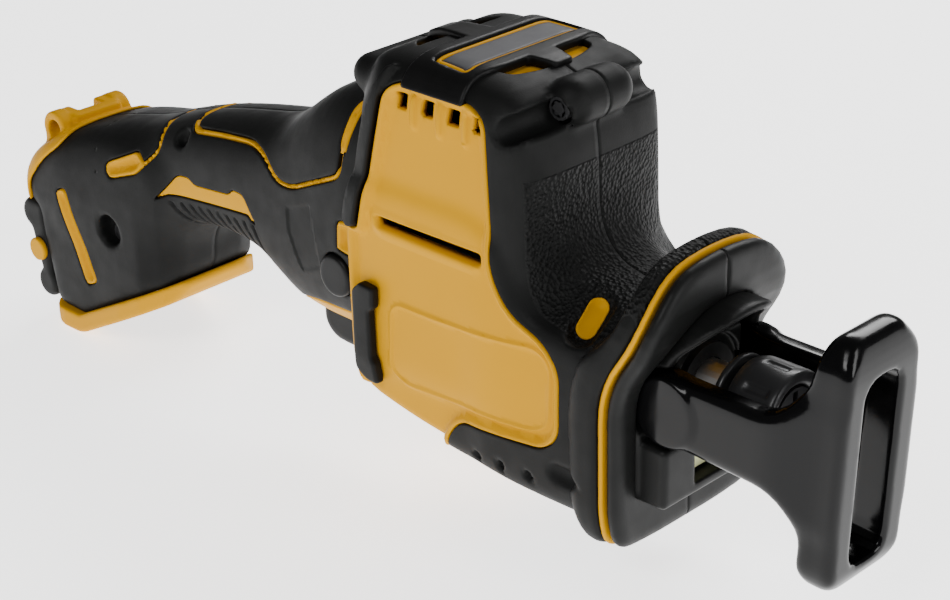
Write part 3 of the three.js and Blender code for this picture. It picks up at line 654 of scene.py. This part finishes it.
VENTS = least(*[vent(start, width) for start, width in zip(VENT_STARTS, VENT_WIDTHS)])
SLOT = side(outline([(17.6, 83.2, 0.6), (18.6, 80.8, 0.5), (54.4, 80.4, 0.6), (54.4, 83.4, 0.6)], 3))
SLOT_LIP = side(outline([
    (14.2, 85.5, 2), (14.2, 79, 3), (19, 77, 3), (53, 77, 3), (56.4, 79.5, 3), (56.4, 85, 2)]))
BUTTON_HOLE = side(lambda x, z: np.sqrt((x - LOCK_X) ** 2 + (z - LOCK_Z) ** 2) - 6.4)
holes = least(VENTS, SLOT, BUTTON_HOLE)

RIB = side(outline([(6.8, 80.5, 1.5), (9.2, 77.6, 1.5), (12.2, 79.5, 1.5), (21.6, 119, 2), (24, 124, 2),
                    (20, 123, 2), (14.2, 110, 8)]))
FLUTE_STARTS = (28.7, 37.7, 46.6)


def flute(x):
    return side(outline([(x, 109, 1), (x + 1.6, 108.4, 1), (x + 3, 110, 1), (x + 3, 119, 1), (x, 119, 1)]))


FLUTES = least(*[flute(x) for x in FLUTE_STARTS])
LABEL = side(outline([
    (20.4, 40, 4), (25.4, 37.0, 3), (71, 40.4, 4), (75.6, 43.5, 3), (76.2, 60, 3), (72, 63.4, 3),
    (41, 60.6, 8), (24.5, 60.4, 3), (21.8, 58, 3)]))
RIB_COUNT = 10
GRIP_RIBS = least(*[side(stroke([(-82 + 4.1 * i, 55.2 + 0.42 * i, 0), (-79.4 + 4.1 * i, 50.5, 4),
                                 (-74 + 3.9 * i, 42, 0)], 0.8)) for i in range(RIB_COUNT)])
PATCH = side(outline([(-27.6, 70, 1), (-16.4, 74.4, 1), (-13.4, 56.4, 1), (-22.8, 52, 1), (-27.6, 63.6, 1)]))
COLLAR_LINE = side(stroke([(-128, 76, 0), (-117, 66, 6), (-113.5, 58, 6), (-112, 50, 0)], 0.22))


def step_between(value, low, high):
    t = np.clip((value - low) / (high - low), 0, 1)
    return t * t * (3 - 2 * t)


def yellow_height(x, y, z):
    """How far the yellow shell lies above or below the outer skin."""
    depth = -exposed(x, y, z)
    height = np.interp(depth, (-1.5, 0, 0.3, 0.75, 1.5, 2.8), (-1.9, -1.7, -0.4, 0.25, -0.3, -1.9))
    deep_front = step_between(-TOP_VENT_FRONT(x, y, z), -1, 0.6)
    deep_rear = step_between(-TOP_VENT_REAR(x, y, z), -1, 0.6)
    deep = np.maximum(deep_front, deep_rear)
    height = height * (1 - deep) - 2.0 * deep
    flat_plate = step_between(-PLATE(x, y, z), 0.0, 0.5)
    height = height * (1 - flat_plate) - 0.35 * flat_plate
    flat_band = step_between(-THROAT(x, y, z), 0.4, 1.0)
    height = height * (1 - flat_band) - 0.3 * flat_band
    height += 0.45 * (1 - step_between(np.abs(LABEL(x, y, z)), 0.25, 0.7))
    height += 1.3 * step_between(-FLUTES(x, y, z), 0, 1.3)
    lip = step_between(-SLOT_LIP(x, y, z), 0, 2.6) * step_between(SLOT(x, y, z), -0.2, 1.0)
    return height + 0.7 * lip - 0.5 * (1 - step_between(SLOT(x, y, z), 0, 0.6))


def rubber_height(x, y, z):
    height = np.interp(exposed(x, y, z), (0, 0.15, 0.45), (-0.35, -0.1, 0))
    height += 1.7 * step_between(-RIB(x, y, z), 0, 0.9)
    height -= 0.9 * step_between(-GRIP_RIBS(x, y, z), 0, 0.5) * step_between(PLATE(x, y, z), 0.4, 1.2)
    height -= 0.3 * step_between(-PATCH(x, y, z), 0, 0.4)
    height -= 0.25 * step_between(-COLLAR_LINE(x, y, z), 0, 0.2)
    return height - 0.25 * (1 - step_between(BUTTON_HOLE(x, y, z), 0, 0.5))


SKIN_LOW, SKIN_HIGH = (-152, -33, 2), (98, 1.5, 131)
SKIN_END_X = 97.0
SEAM = 0.05                      # half the gap between the two halves
points, quads = net_of(base, SKIN_LOW, SKIN_HIGH, 1.15, 3)
skin = Skin(points, triangles_of(quads), base)
skin.cut(lambda x, y, z: y + 0 * x, -SEAM, snap=0.45)
skin.cut(lambda x, y, z: x + 0 * y, SKIN_END_X, snap=0.45)
middles = skin.centres()
skin.f = skin.f[(middles[:, 1] < -SEAM) & (middles[:, 0] < SKIN_END_X)]
for mask, levels in (
        (exposed, (0, -0.3, -0.75, 0.15, 0.45, 1.5, -1.5, -2.8)),
        (holes, (0, 0.5)),
        (RIB, (0, -0.45, -0.9)),
        (GRIP_RIBS, (0, -0.25, -0.5)),
        (SLOT_LIP, (0, -1.3, -2.6)),
        (FLUTES, (0, -0.65, -1.3)),
        (LABEL, (-0.7, -0.25, 0.25, 0.7)),
        (PATCH, (0, -0.4)),
        (COLLAR_LINE, (0, -0.2)),
        (PLATE, (-0.5,))):
    for level in levels:
        skin.cut(mask, level, snap=0.2)

normals = gradient(base, skin.p, 0.2)
normals /= np.linalg.norm(normals, axis=1, keepdims=True) + 1e-9
middles = skin.centres()
open_here = holes(*middles.T) < 0
shown = exposed(*middles.T)
rubber_points = skin.p + normals * rubber_height(*skin.p.T)[:, None]
yellow_points = skin.p + normals * yellow_height(*skin.p.T)[:, None]
rubber_faces = skin.f[(shown > 0) & ~open_here]
yellow_faces = skin.f[(shown < 1.5) & ~open_here]
RUBBER_DEPTH, SHELL_DEPTH = 1.3, 2.2
for hand, mirror in (("right", False), ("left", True)):
    p, f = thick(rubber_points, rubber_faces, normals, RUBBER_DEPTH)
    make(hand + "_rubber_overmould", p, f, RUBBER, "root", (hand + "_overmould",),
         mirror=mirror)
    p, f = thick(yellow_points, yellow_faces, normals, SHELL_DEPTH)
    make(hand + "_yellow_shell", p, f, YELLOW, "root", (hand + "_housing_shell",),
         mirror=mirror)


# ---------------------------------------------------------------- other solid pieces
def solid(name, field, low, high, step, material, body, stands_for=(), mirror=False):
    p, q = net_of(field, low, high, step)
    return make(name, p, q.tolist(), material, body, stands_for, mirror)


def conformal(outline_field, grow, sunk=1.2, k=0.7):
    """A pad that follows the outer skin, standing proud of it by grow."""
    def field(x, y, z):
        skin_here = base(x, y, z)
        return smooth_max(smooth_max(skin_here - grow, outline_field(x, y, z), k), -(skin_here + sunk), 0.3)
    return field


BAND = outline([(27.6, -30, 0), (27.6, 19, 2), (26.4, 34, 0), (48.4, 34, 0), (47.6, 21, 2), (49.2, 15, 4),
                (49.2, -30, 0)])
BRIDGE = outline([(12.4, -30, 0), (12.4, 3.2, 1), (28, 5, 1), (48, 5, 1), (56.6, 3.2, 1), (56.6, -30, 0)])
LABEL_PLATE = outline([(32.4, -30, 0), (32.4, 20.4, 1.5), (44.2, 21.2, 1.5), (44.2, -30, 0)])


def band_zone(x, y, z):
    across = np.abs(y)
    zone = np.minimum(BAND(x, across), BRIDGE(x, across))
    zone = smooth_max(zone, -(LABEL_PLATE(x, across) - 0.3) + 0 * z, 0.5)
    return smooth_max(zone, 119.6 - z, 0.6)


solid("top_band", conformal(band_zone, 1.2), (10, -31, 118), (58, 31, 131), 0.62, TRIM,
      "root", ("top_plate",))


def label_rim(x, y, z):
    inside = LABEL_PLATE(x, np.abs(y))
    return np.maximum(inside, -(inside + 1.2)) + 0 * z


def label_field(x, y, z):
    return LABEL_PLATE(x, np.abs(y)) + 1.35 + 0 * z


solid("label_rim", conformal(label_rim, 0.5, k=0.3), (31, -23, 118), (46, 23, 130), 0.45, YELLOW,
      "root")
solid("label_field", conformal(label_field, 0.35, k=0.2), (32, -22, 118), (45, 22, 130), 0.6, PLATE_GREY,
      "root")

scoop_core = capsule((81.5, -19.9, 69.4), (81.3, -15.4, 73.3), 2.7)


for hand, mirror in (("right", False), ("left", True)):
    solid("scoop_insert_" + hand, conformal(scoop_core, 0.4, k=0.5), (76, -25, 64), (88, -11, 79), 0.4,
          YELLOW, "root", mirror=mirror)
PAD = side(outline([
    (9.0, 38, 1.5), (13, 35.2, 1.5), (17, 35.2, 1), (17, 41.5, 0.7), (16, 43, 0.7), (16, 56.5, 0.7),
    (17.8, 58, 0.7), (18, 63.7, 1), (12.6, 63.9, 1), (9.4, 61, 1)]))
for hand, mirror in (("right", False), ("left", True)):
    solid("side_pad_" + hand + "_face", conformal(PAD, 1.3, k=1.0), (8, -33, 33), (20, -26, 66), 0.5,
          RUBBER, "root", ("side_pad_" + hand,), mirror)

# Guard: two flanges and the stripe between them follow one bend.
BEND = open_path([(92.6, 5, 0), (92.6, 60, 9), (103.2, 76, 9), (103.2, 100, 0)])
GUARD_FRONT = outline([
    (-25.5, 14.6, 7), (-12, 13.6, 6), (12, 13.6, 6), (25.5, 14.6, 7), (28.2, 24, 6), (28.4, 60, 20),
    (27.2, 78, 14), (17, 90.2, 12), (0, 92.2, 20), (-17, 90.2, 12), (-27.2, 78, 14), (-28.4, 60, 20),
    (-28.2, 24, 6)])
NOSE_FRONT = outline([
    (-20.5, 27.5, 4), (20.5, 27.5, 4), (20.8, 64, 4), (17, 72, 8), (8, 79, 6), (-8, 79, 6), (-17, 72, 8),
    (-20.8, 64, 4)])


def bend_offset(x, z):
    """Signed distance in front of the guard's middle line."""
    far = segment_distance(BEND, False, x, z)
    line_x = np.interp(z, BEND[:, 1], BEND[:, 0])
    return np.where(x > line_x, far, -far)


def flange(back, front, grow, k):
    def field(x, y, z):
        offset = bend_offset(x, z)
        return smooth_max(smooth_max(offset - front, back - offset, k * 0.6), GUARD_FRONT(y, z) - grow, k)
    return field


def guard_half(field):
    return lambda x, y, z: np.maximum(field(x, y, z), y + SEAM)


def back_flange(x, y, z):
    plate = flange(-6.6, -0.75, 0, 3.0)(x, y, z)
    joined = smooth_min(plate, np.maximum(base(x, y, z) + 1.5, 84 - x), 9)
    joined = np.maximum(joined, bend_offset(x, z) + 0.75)
    return np.maximum(joined, -(base(x, y, z) - 0.05) * (x < SKIN_END_X) - 5 * (x >= SKIN_END_X))


def front_flange(x, y, z):
    plate = flange(0.75, 5.2, 0, 4.5)(x, y, z)
    return smooth_max(plate, -(NOSE_FRONT(y, z) + 0.6), 0.8)


for hand, mirror in (("right", False), ("left", True)):
    solid("back_flange_" + hand, guard_half(back_flange), (80, -30, 12), (105, 0, 94), 0.8, RUBBER,
          "root", ("guard_backplate",), mirror)
    solid("front_flange_" + hand, guard_half(front_flange), (91, -30, 12), (111, 0, 94), 0.8, GUARD,
          "root", ("front_guard",), mirror)
solid("stripe_sheet", flange(-0.7, 0.7, -0.35, 0.8), (90, -30, 12), (106, 30, 94), 0.5, YELLOW,
      "root", ("guard_stripe",))

# Nose: knuckle seats, hood over the shaft and the lamp block.
NOSE_ARCH = outline([
    (-18.6, 50, 2), (18.6, 50, 2), (18.4, 66, 6), (12, 76.5, 7), (0, 80, 8), (-12, 76.5, 7), (-18.4, 66, 6)])
HOOD_SIDE = outline([
    (96, 62, 0), (103.5, 62, 1), (106, 68, 2), (116, 77.5, 1.5), (114, 82, 1), (96, 84, 0)])


def nose(x, y, z):
    core = smooth_max(NOSE_FRONT(y, z), np.maximum(88 - x, x - 98.6), 1.0)
    hood = smooth_max(smooth_max(HOOD_SIDE(x, z), NOSE_ARCH(y, z), 1.5), -(NOSE_ARCH(y, z) + 3.0), 1.2)
    lamp = block((96, -20, 28), (106.3, 20, 44.6), 1.6)(x, y, z)
    lamp = smooth_max(lamp, -block((99.8, -8.2, 31.2), (112, 8.2, 42.6), 0.8)(x, y, z), 0.6)
    cheeks = block((96, -12.6, 42), (103.2, 12.6, 67), 1.0)(x, y, z)
    form = np.minimum(np.minimum(core, hood), np.minimum(lamp, cheeks))
    form = smooth_max(form, -tube_x(0, SHAFT_Z, 8.2)(x, y, z), 0.8)
    form = smooth_max(form, -np.maximum(tube_x(0, SHAFT_Z, 12.6)(x, y, z), 101.5 - x), 0.8)
    knuckle = np.maximum(tube_y(PIVOT_X, SHAFT_Z, 10.4)(x, y, z), 12.9 - np.abs(y))
    return smooth_max(form, -knuckle, 0.6)


solid("nose_casting", nose, (87, -22, 26), (118, 22, 83), 0.7, GUARD, "root",
      ("nose_block",))

# Shoe
SHOE_TILT = math.radians(2.7)
SHOE_PLATE = outline([
    (143.4, 20.5, 3), (150.2, 20.5, 4), (152.7, 25, 3), (152.7, 80, 4), (149.7, 87.6, 4), (145, 88, 2.5),
    (142.2, 84, 3), (141.8, 76, 3), (136, 65.6, 8), (112, 64.4, 2), (103, 64.6, 2), (103, 46.2, 2),
    (126, 46.2, 4), (136.6, 46, 5), (142.4, 35, 7), (141.4, 25, 4)])
SHOE_FACE = outline([
    (-10.5, 20.3, 3), (10.5, 20.3, 3), (14.7, 26, 4), (14.9, 36, 3), (20, 46, 3), (20, 65, 3),
    (14.9, 72, 3), (14.7, 80, 4), (8.6, 88, 3), (-8.6, 88, 3), (-14.7, 80, 4), (-14.9, 72, 3),
    (-20, 65, 3), (-20, 46, 3), (-14.9, 36, 3), (-14.7, 26, 4)])
SHOE_PLAN = outline([(95.5, -20, 6), (137, -20, 5), (145, -14.9, 4), (155, -14.7, 3.4), (155, 14.7, 3.4),
                     (145, 14.9, 4), (137, 20, 5), (95.5, 20, 6)])
BLADE_SLOT = outline([(-6.8, 27, 5.5), (6.8, 27, 5.5), (6.8, 76.5, 5.5), (-6.8, 76.5, 5.5)])


def shoe(x, y, z):
    dx, dz = x - PIVOT_X, z - SHAFT_Z
    x = PIVOT_X + dx * math.cos(SHOE_TILT) - dz * math.sin(SHOE_TILT)
    z = SHAFT_Z + dx * math.sin(SHOE_TILT) + dz * math.cos(SHOE_TILT)
    plate = smooth_max(smooth_max(SHOE_PLATE(x, z), SHOE_FACE(y, z), 3.2), SHOE_PLAN(x, y), 2.4)
    knuckle = smooth_max(tube_y(PIVOT_X, SHAFT_Z, 9.4)(x, y, z), np.abs(np.abs(y) - 16.7) - 3.4, 1.2)
    form = smooth_min(plate, knuckle, 1.5)
    room = smooth_max(np.abs(y) - 13.3, x - 142.3, 2.0)
    form = smooth_max(form, -room, 1.2)
    form = smooth_max(form, -np.maximum(BLADE_SLOT(y, z), 138 - x), 1.6)
    pin = tube_y(PIVOT_X, SHAFT_Z, 3.3)(x, y, z)
    return smooth_max(form, -np.maximum(pin, np.abs(y) - 18), 0.4)


solid("shoe_plate", shoe, (94, -21.5, 19), (156, 21.5, 90), 0.7, SHOE, "shoe", ("shoe",))

# Blade clamp
def clamp_collar(x, y, z):
    r = np.sqrt(y * y + (z - SHAFT_Z) ** 2)
    angle = np.arctan2(z - SHAFT_Z, y)
    body = smooth_max(np.maximum(115.7 - x, x - 129.6), r - 11.5, 1.4)
    body = smooth_max(body, r - 11.5 + np.maximum(118.4 - x, 0) * 0.35, 0.5)
    scallop = 0.55 * step_between(np.cos(8 * angle), 0.55, 0.95) * step_between(x, 119, 121) * (x < 127)
    body = np.maximum(body, r - 11.5 + scallop)
    return smooth_max(body, 7.5 + 1.2 * (x > 128.4) * (x - 128.4) - r, 0.5)


def clamp_disc(x, y, z):
    r = np.sqrt(y * y + (z - SHAFT_Z) ** 2)
    return smooth_max(smooth_max(np.abs(x - 112.8) - 0.95, r - 10.4, 0.7), 4.3 - r, 0.3)


solid("collar_sleeve", clamp_collar, (114, -13, 42), (131, 13, 68), 0.55, DARK, "collar",
      ("clamp_collar",))
solid("clamp_washer", clamp_disc, (111, -12, 43), (115, 12, 67), 0.45, DARK, "ram",
      ("clamp_disc",))

# Trigger and lock button
TRIGGER_SIDE = outline([
    (-28.4, 41, 1), (-28.2, 31, 3), (-24, 27.2, 5), (-15, 26.6, 6), (-8, 29, 4), (-6, 34, 2), (-6, 41.6, 1)])


def trigger_form(x, y, z):
    return smooth_max(TRIGGER_SIDE(x, z), np.abs(y) - 8.4, 2.6)


def lock_form(x, y, z):
    return smooth_max(tube_y(LOCK_X, LOCK_Z, 6.0)(x, y, z), np.abs(y) - 23, 1.4)


solid("trigger_lever", trigger_form, (-30, -10, 25), (-4, 10, 43), 0.6, TRIM, "trigger",
      ("trigger",))
solid("lock_slide_button", lock_form, (LOCK_X - 7, -24, LOCK_Z - 7), (LOCK_X + 7, 24, LOCK_Z + 7), 0.6,
      TRIM, "lock", ("lock_button",))

# Foot rim, rear bumper and rear cover
RIM_SIDE = outline([
    (-126.5, 0, 3), (-88, 19.9, 2), (-85.6, 25, 2), (-86.6, 26.6, 1), (-127, 6.2, 1), (-139.4, 6.2, 1),
    (-140.6, 8, 1), (-141.5, 4, 1), (-138, 0, 3)])
RIM_PLAN = outline([(-141.5, -22.9, 7), (-84.4, -22.9, 21), (-84.4, 22.9, 21), (-141.5, 22.9, 7)])
BAY_SIDE = outline([(-132, -6, 0), (-93, 14, 0), (-93, 60, 0), (-132, 22, 0)])


def foot_rim(x, y, z):
    form = smooth_max(RIM_SIDE(x, z), RIM_PLAN(x, y), 1.0)
    return smooth_max(form, -np.maximum(BAY_SIDE(x, z), np.abs(y) - 16.5), 0.8)


solid("battery_rim", foot_rim, (-143, -24, -1), (-82, 24, 30), 0.75, YELLOW, "root",
      ("foot_base",))

BUMPER_SIDE = outline([
    (-143.6, 38.5, 2), (-149.4, 38.5, 3), (-151.4, 31, 2), (-146.2, 10, 2), (-141.4, 8, 1.5), (-142, 12, 1)])
UPPER_BUMP, LOWER_BUMP = (-149.6, 33.6, 5.0), (-145.2, 11.2, 4.8)


def bumper(x, y, z):
    strip = BUMPER_SIDE(x, z)
    bumps = [np.sqrt((x - bx) ** 2 + (z - bz) ** 2) - r for bx, bz, r in (UPPER_BUMP, LOWER_BUMP)]
    strip = smooth_min(smooth_min(strip, bumps[0], 1.5), bumps[1], 1.5)
    return smooth_max(strip, np.abs(y) - 21, 2.2)


def plug_form(x, y, z):
    return smooth_max(tube_y(-146.6, 22.6, 3.7)(x, y, z), np.abs(y + 21.6) - 0.9, 0.5)


solid("bumper_pad", bumper, (-156, -22, 4), (-138, 22, 41), 0.7, RUBBER, "root",
      ("rear_bumper",))
for hand, mirror in (("right", False), ("left", True)):
    solid("plug_face_" + hand, plug_form, (-151, -23, 18), (-142, -20, 27), 0.45, YELLOW,
          "root", ("bumper_plug_" + hand,), mirror)

COVER_EDGE = outline([(-170, 36, 0), (-149.6, 36, 0), (-149.4, 44, 6), (-140.6, 54.5, 10), (-133, 60, 8),
                      (-130, 76, 0), (-170, 76, 0)])
LUG_X, LUG_Z = -143.8, 60.6


def rear_cover(x, y, z):
    skin_here = base(x, y, z)
    cap = smooth_max(smooth_max(skin_here - 1.1, COVER_EDGE(x, z), 0.8), -(skin_here - 0.05), 0.2)
    across = np.abs(y)
    ear_foot = block((-149, -20, 52), (-138.4, 20, LUG_Z), 1)(x, y, z)
    ear = np.minimum(tube_y(LUG_X, LUG_Z, 5.6)(x, y, z), ear_foot)
    ear = smooth_max(ear, np.abs(across - 10.6) - 2.4, 1.0)
    bar = smooth_max(block((-147.6, -9, 55), (-137.5, 9, 65.4), 1.6)(x, y, z),
                     -block((-150, -5.5, 58.5), (-141, 5.5, 70), 0.6)(x, y, z) - 0.8, 0.8)
    lug = np.maximum(smooth_min(ear, bar, 1.0), -(skin_here - 0.05))
    form = smooth_min(cap, lug, 1.5)
    return smooth_max(form, -tube_y(LUG_X, LUG_Z, 3.0)(x, y, z), 0.5)


solid("rear_cap", rear_cover, (-156, -24, 34), (-120, 24, 72), 0.62, YELLOW, "root",
      ("rear_cover",))


# Screw heads with a six-lobed socket
def screw_form(cx, cz, face):
    def field(x, y, z):
        angle = np.arctan2(z - cz, x - cx)
        r = np.sqrt((x - cx) ** 2 + (z - cz) ** 2)
        head = smooth_max(r - 3.0, np.abs(y - face - 1.25) - 1.25, 0.7)
        return smooth_max(head, -np.maximum(r - 1.5 - 0.25 * np.cos(6 * angle), y - face - 1.2), 0.2)
    return field


for number in range(1, 7):
    low, high = box(f"housing_screw_{number}")
    cx, cz, face = (low[0] + high[0]) / 2, (low[2] + high[2]) / 2, low[1]
    solid(f"screw_head_{number}", screw_form(cx, cz, face), (cx - 3.4, face - 0.3, cz - 3.4),
          (cx + 3.4, face + 3, cz + 3.4), 0.3, DARK, "root")


# ---------------------------------------------------------------- finishes of the carried-over pieces
FINISH = {"shell_yellow": YELLOW, "overmould_black": RUBBER, "trim_black": TRIM, "guard_black": GUARD,
          "shoe_black": SHOE, "steel": STEEL, "black_steel": DARK, "aluminium": ALLOY, "copper": COPPER,
          "board": BOARD, "seal_rubber": SEAL, "lens": LENS}
for part in frame["record"]["subparts"]:
    mesh = frame["nodes"][part["node"]].data
    mesh.materials.clear()
    mesh.materials.append(FINISH[part["material_slot"]])


# ---------------------------------------------------------------- camera, floor and light
CAMERA_AT = (404.0, -380.0, 309.0)
AZIMUTH, ELEVATION, ROLL = 45.0, 25.6, -1.4
LENS_MM = 85.26

floor_mesh = bpy.data.meshes.new("floor")
floor_mesh.from_pydata([(-6, -6, 0), (6, -6, 0), (6, 6, 0), (-6, 6, 0)], [], [(0, 1, 2, 3)])
floor = bpy.data.objects.new("floor", floor_mesh)
bpy.context.scene.collection.objects.link(floor)
floor.location.z = cad_box[0][2] - 0.0003
floor_paint, _, floor_shader = new_material("pale_floor", (0.93, 0.93, 0.93), 0.6)
floor_shader.inputs["Emission Color"].default_value = (1, 1, 1, 1)
floor_shader.inputs["Emission Strength"].default_value = 2.2
floor_mesh.materials.append(floor_paint)

world = bpy.data.worlds.new("studio")
bpy.context.scene.world = world
world.use_nodes = True
world.node_tree.nodes["Background"].inputs["Color"].default_value = (1, 1, 1, 1)
world.node_tree.nodes["Background"].inputs["Strength"].default_value = 0.16


def softbox(name, place, aim, size, power):
    light = bpy.data.lights.new(name, "AREA")
    light.shape = "RECTANGLE"
    light.size, light.size_y = size
    light.energy = power
    lamp = bpy.data.objects.new(name, light)
    bpy.context.scene.collection.objects.link(lamp)
    lamp.location = place
    lamp.rotation_euler = (Vector(aim) - Vector(place)).to_track_quat("-Z", "Y").to_euler()


softbox("key", (0.25, -0.9, 0.9), (0, 0, 0.06), (0.5, 0.35), 7)
softbox("side", (1.1, 0.1, 0.5), (0.05, 0, 0.06), (0.3, 0.7), 6)
softbox("back", (-0.2, 0.9, 0.8), (0, 0, 0.06), (0.9, 0.3), 12)

camera = bpy.data.objects.new("camera", bpy.data.cameras.new("camera"))
bpy.context.scene.collection.objects.link(camera)
bpy.context.scene.camera = camera
az, el, roll = (math.radians(v) for v in (AZIMUTH, ELEVATION, ROLL))
back = Vector((math.sin(az) * math.cos(el), -math.cos(az) * math.cos(el), math.sin(el)))
right = Vector((math.cos(az), math.sin(az), 0))
up = back.cross(right)
turned_right = right * math.cos(roll) + up * math.sin(roll)
turned_up = up * math.cos(roll) - right * math.sin(roll)
place = Matrix.Translation(Vector(CAMERA_AT) * MM)
camera.matrix_world = place @ Matrix((turned_right, turned_up, back)).transposed().to_4x4()
camera.data.lens = LENS_MM
camera.data.sensor_width = 36
camera.data.clip_start = 0.01
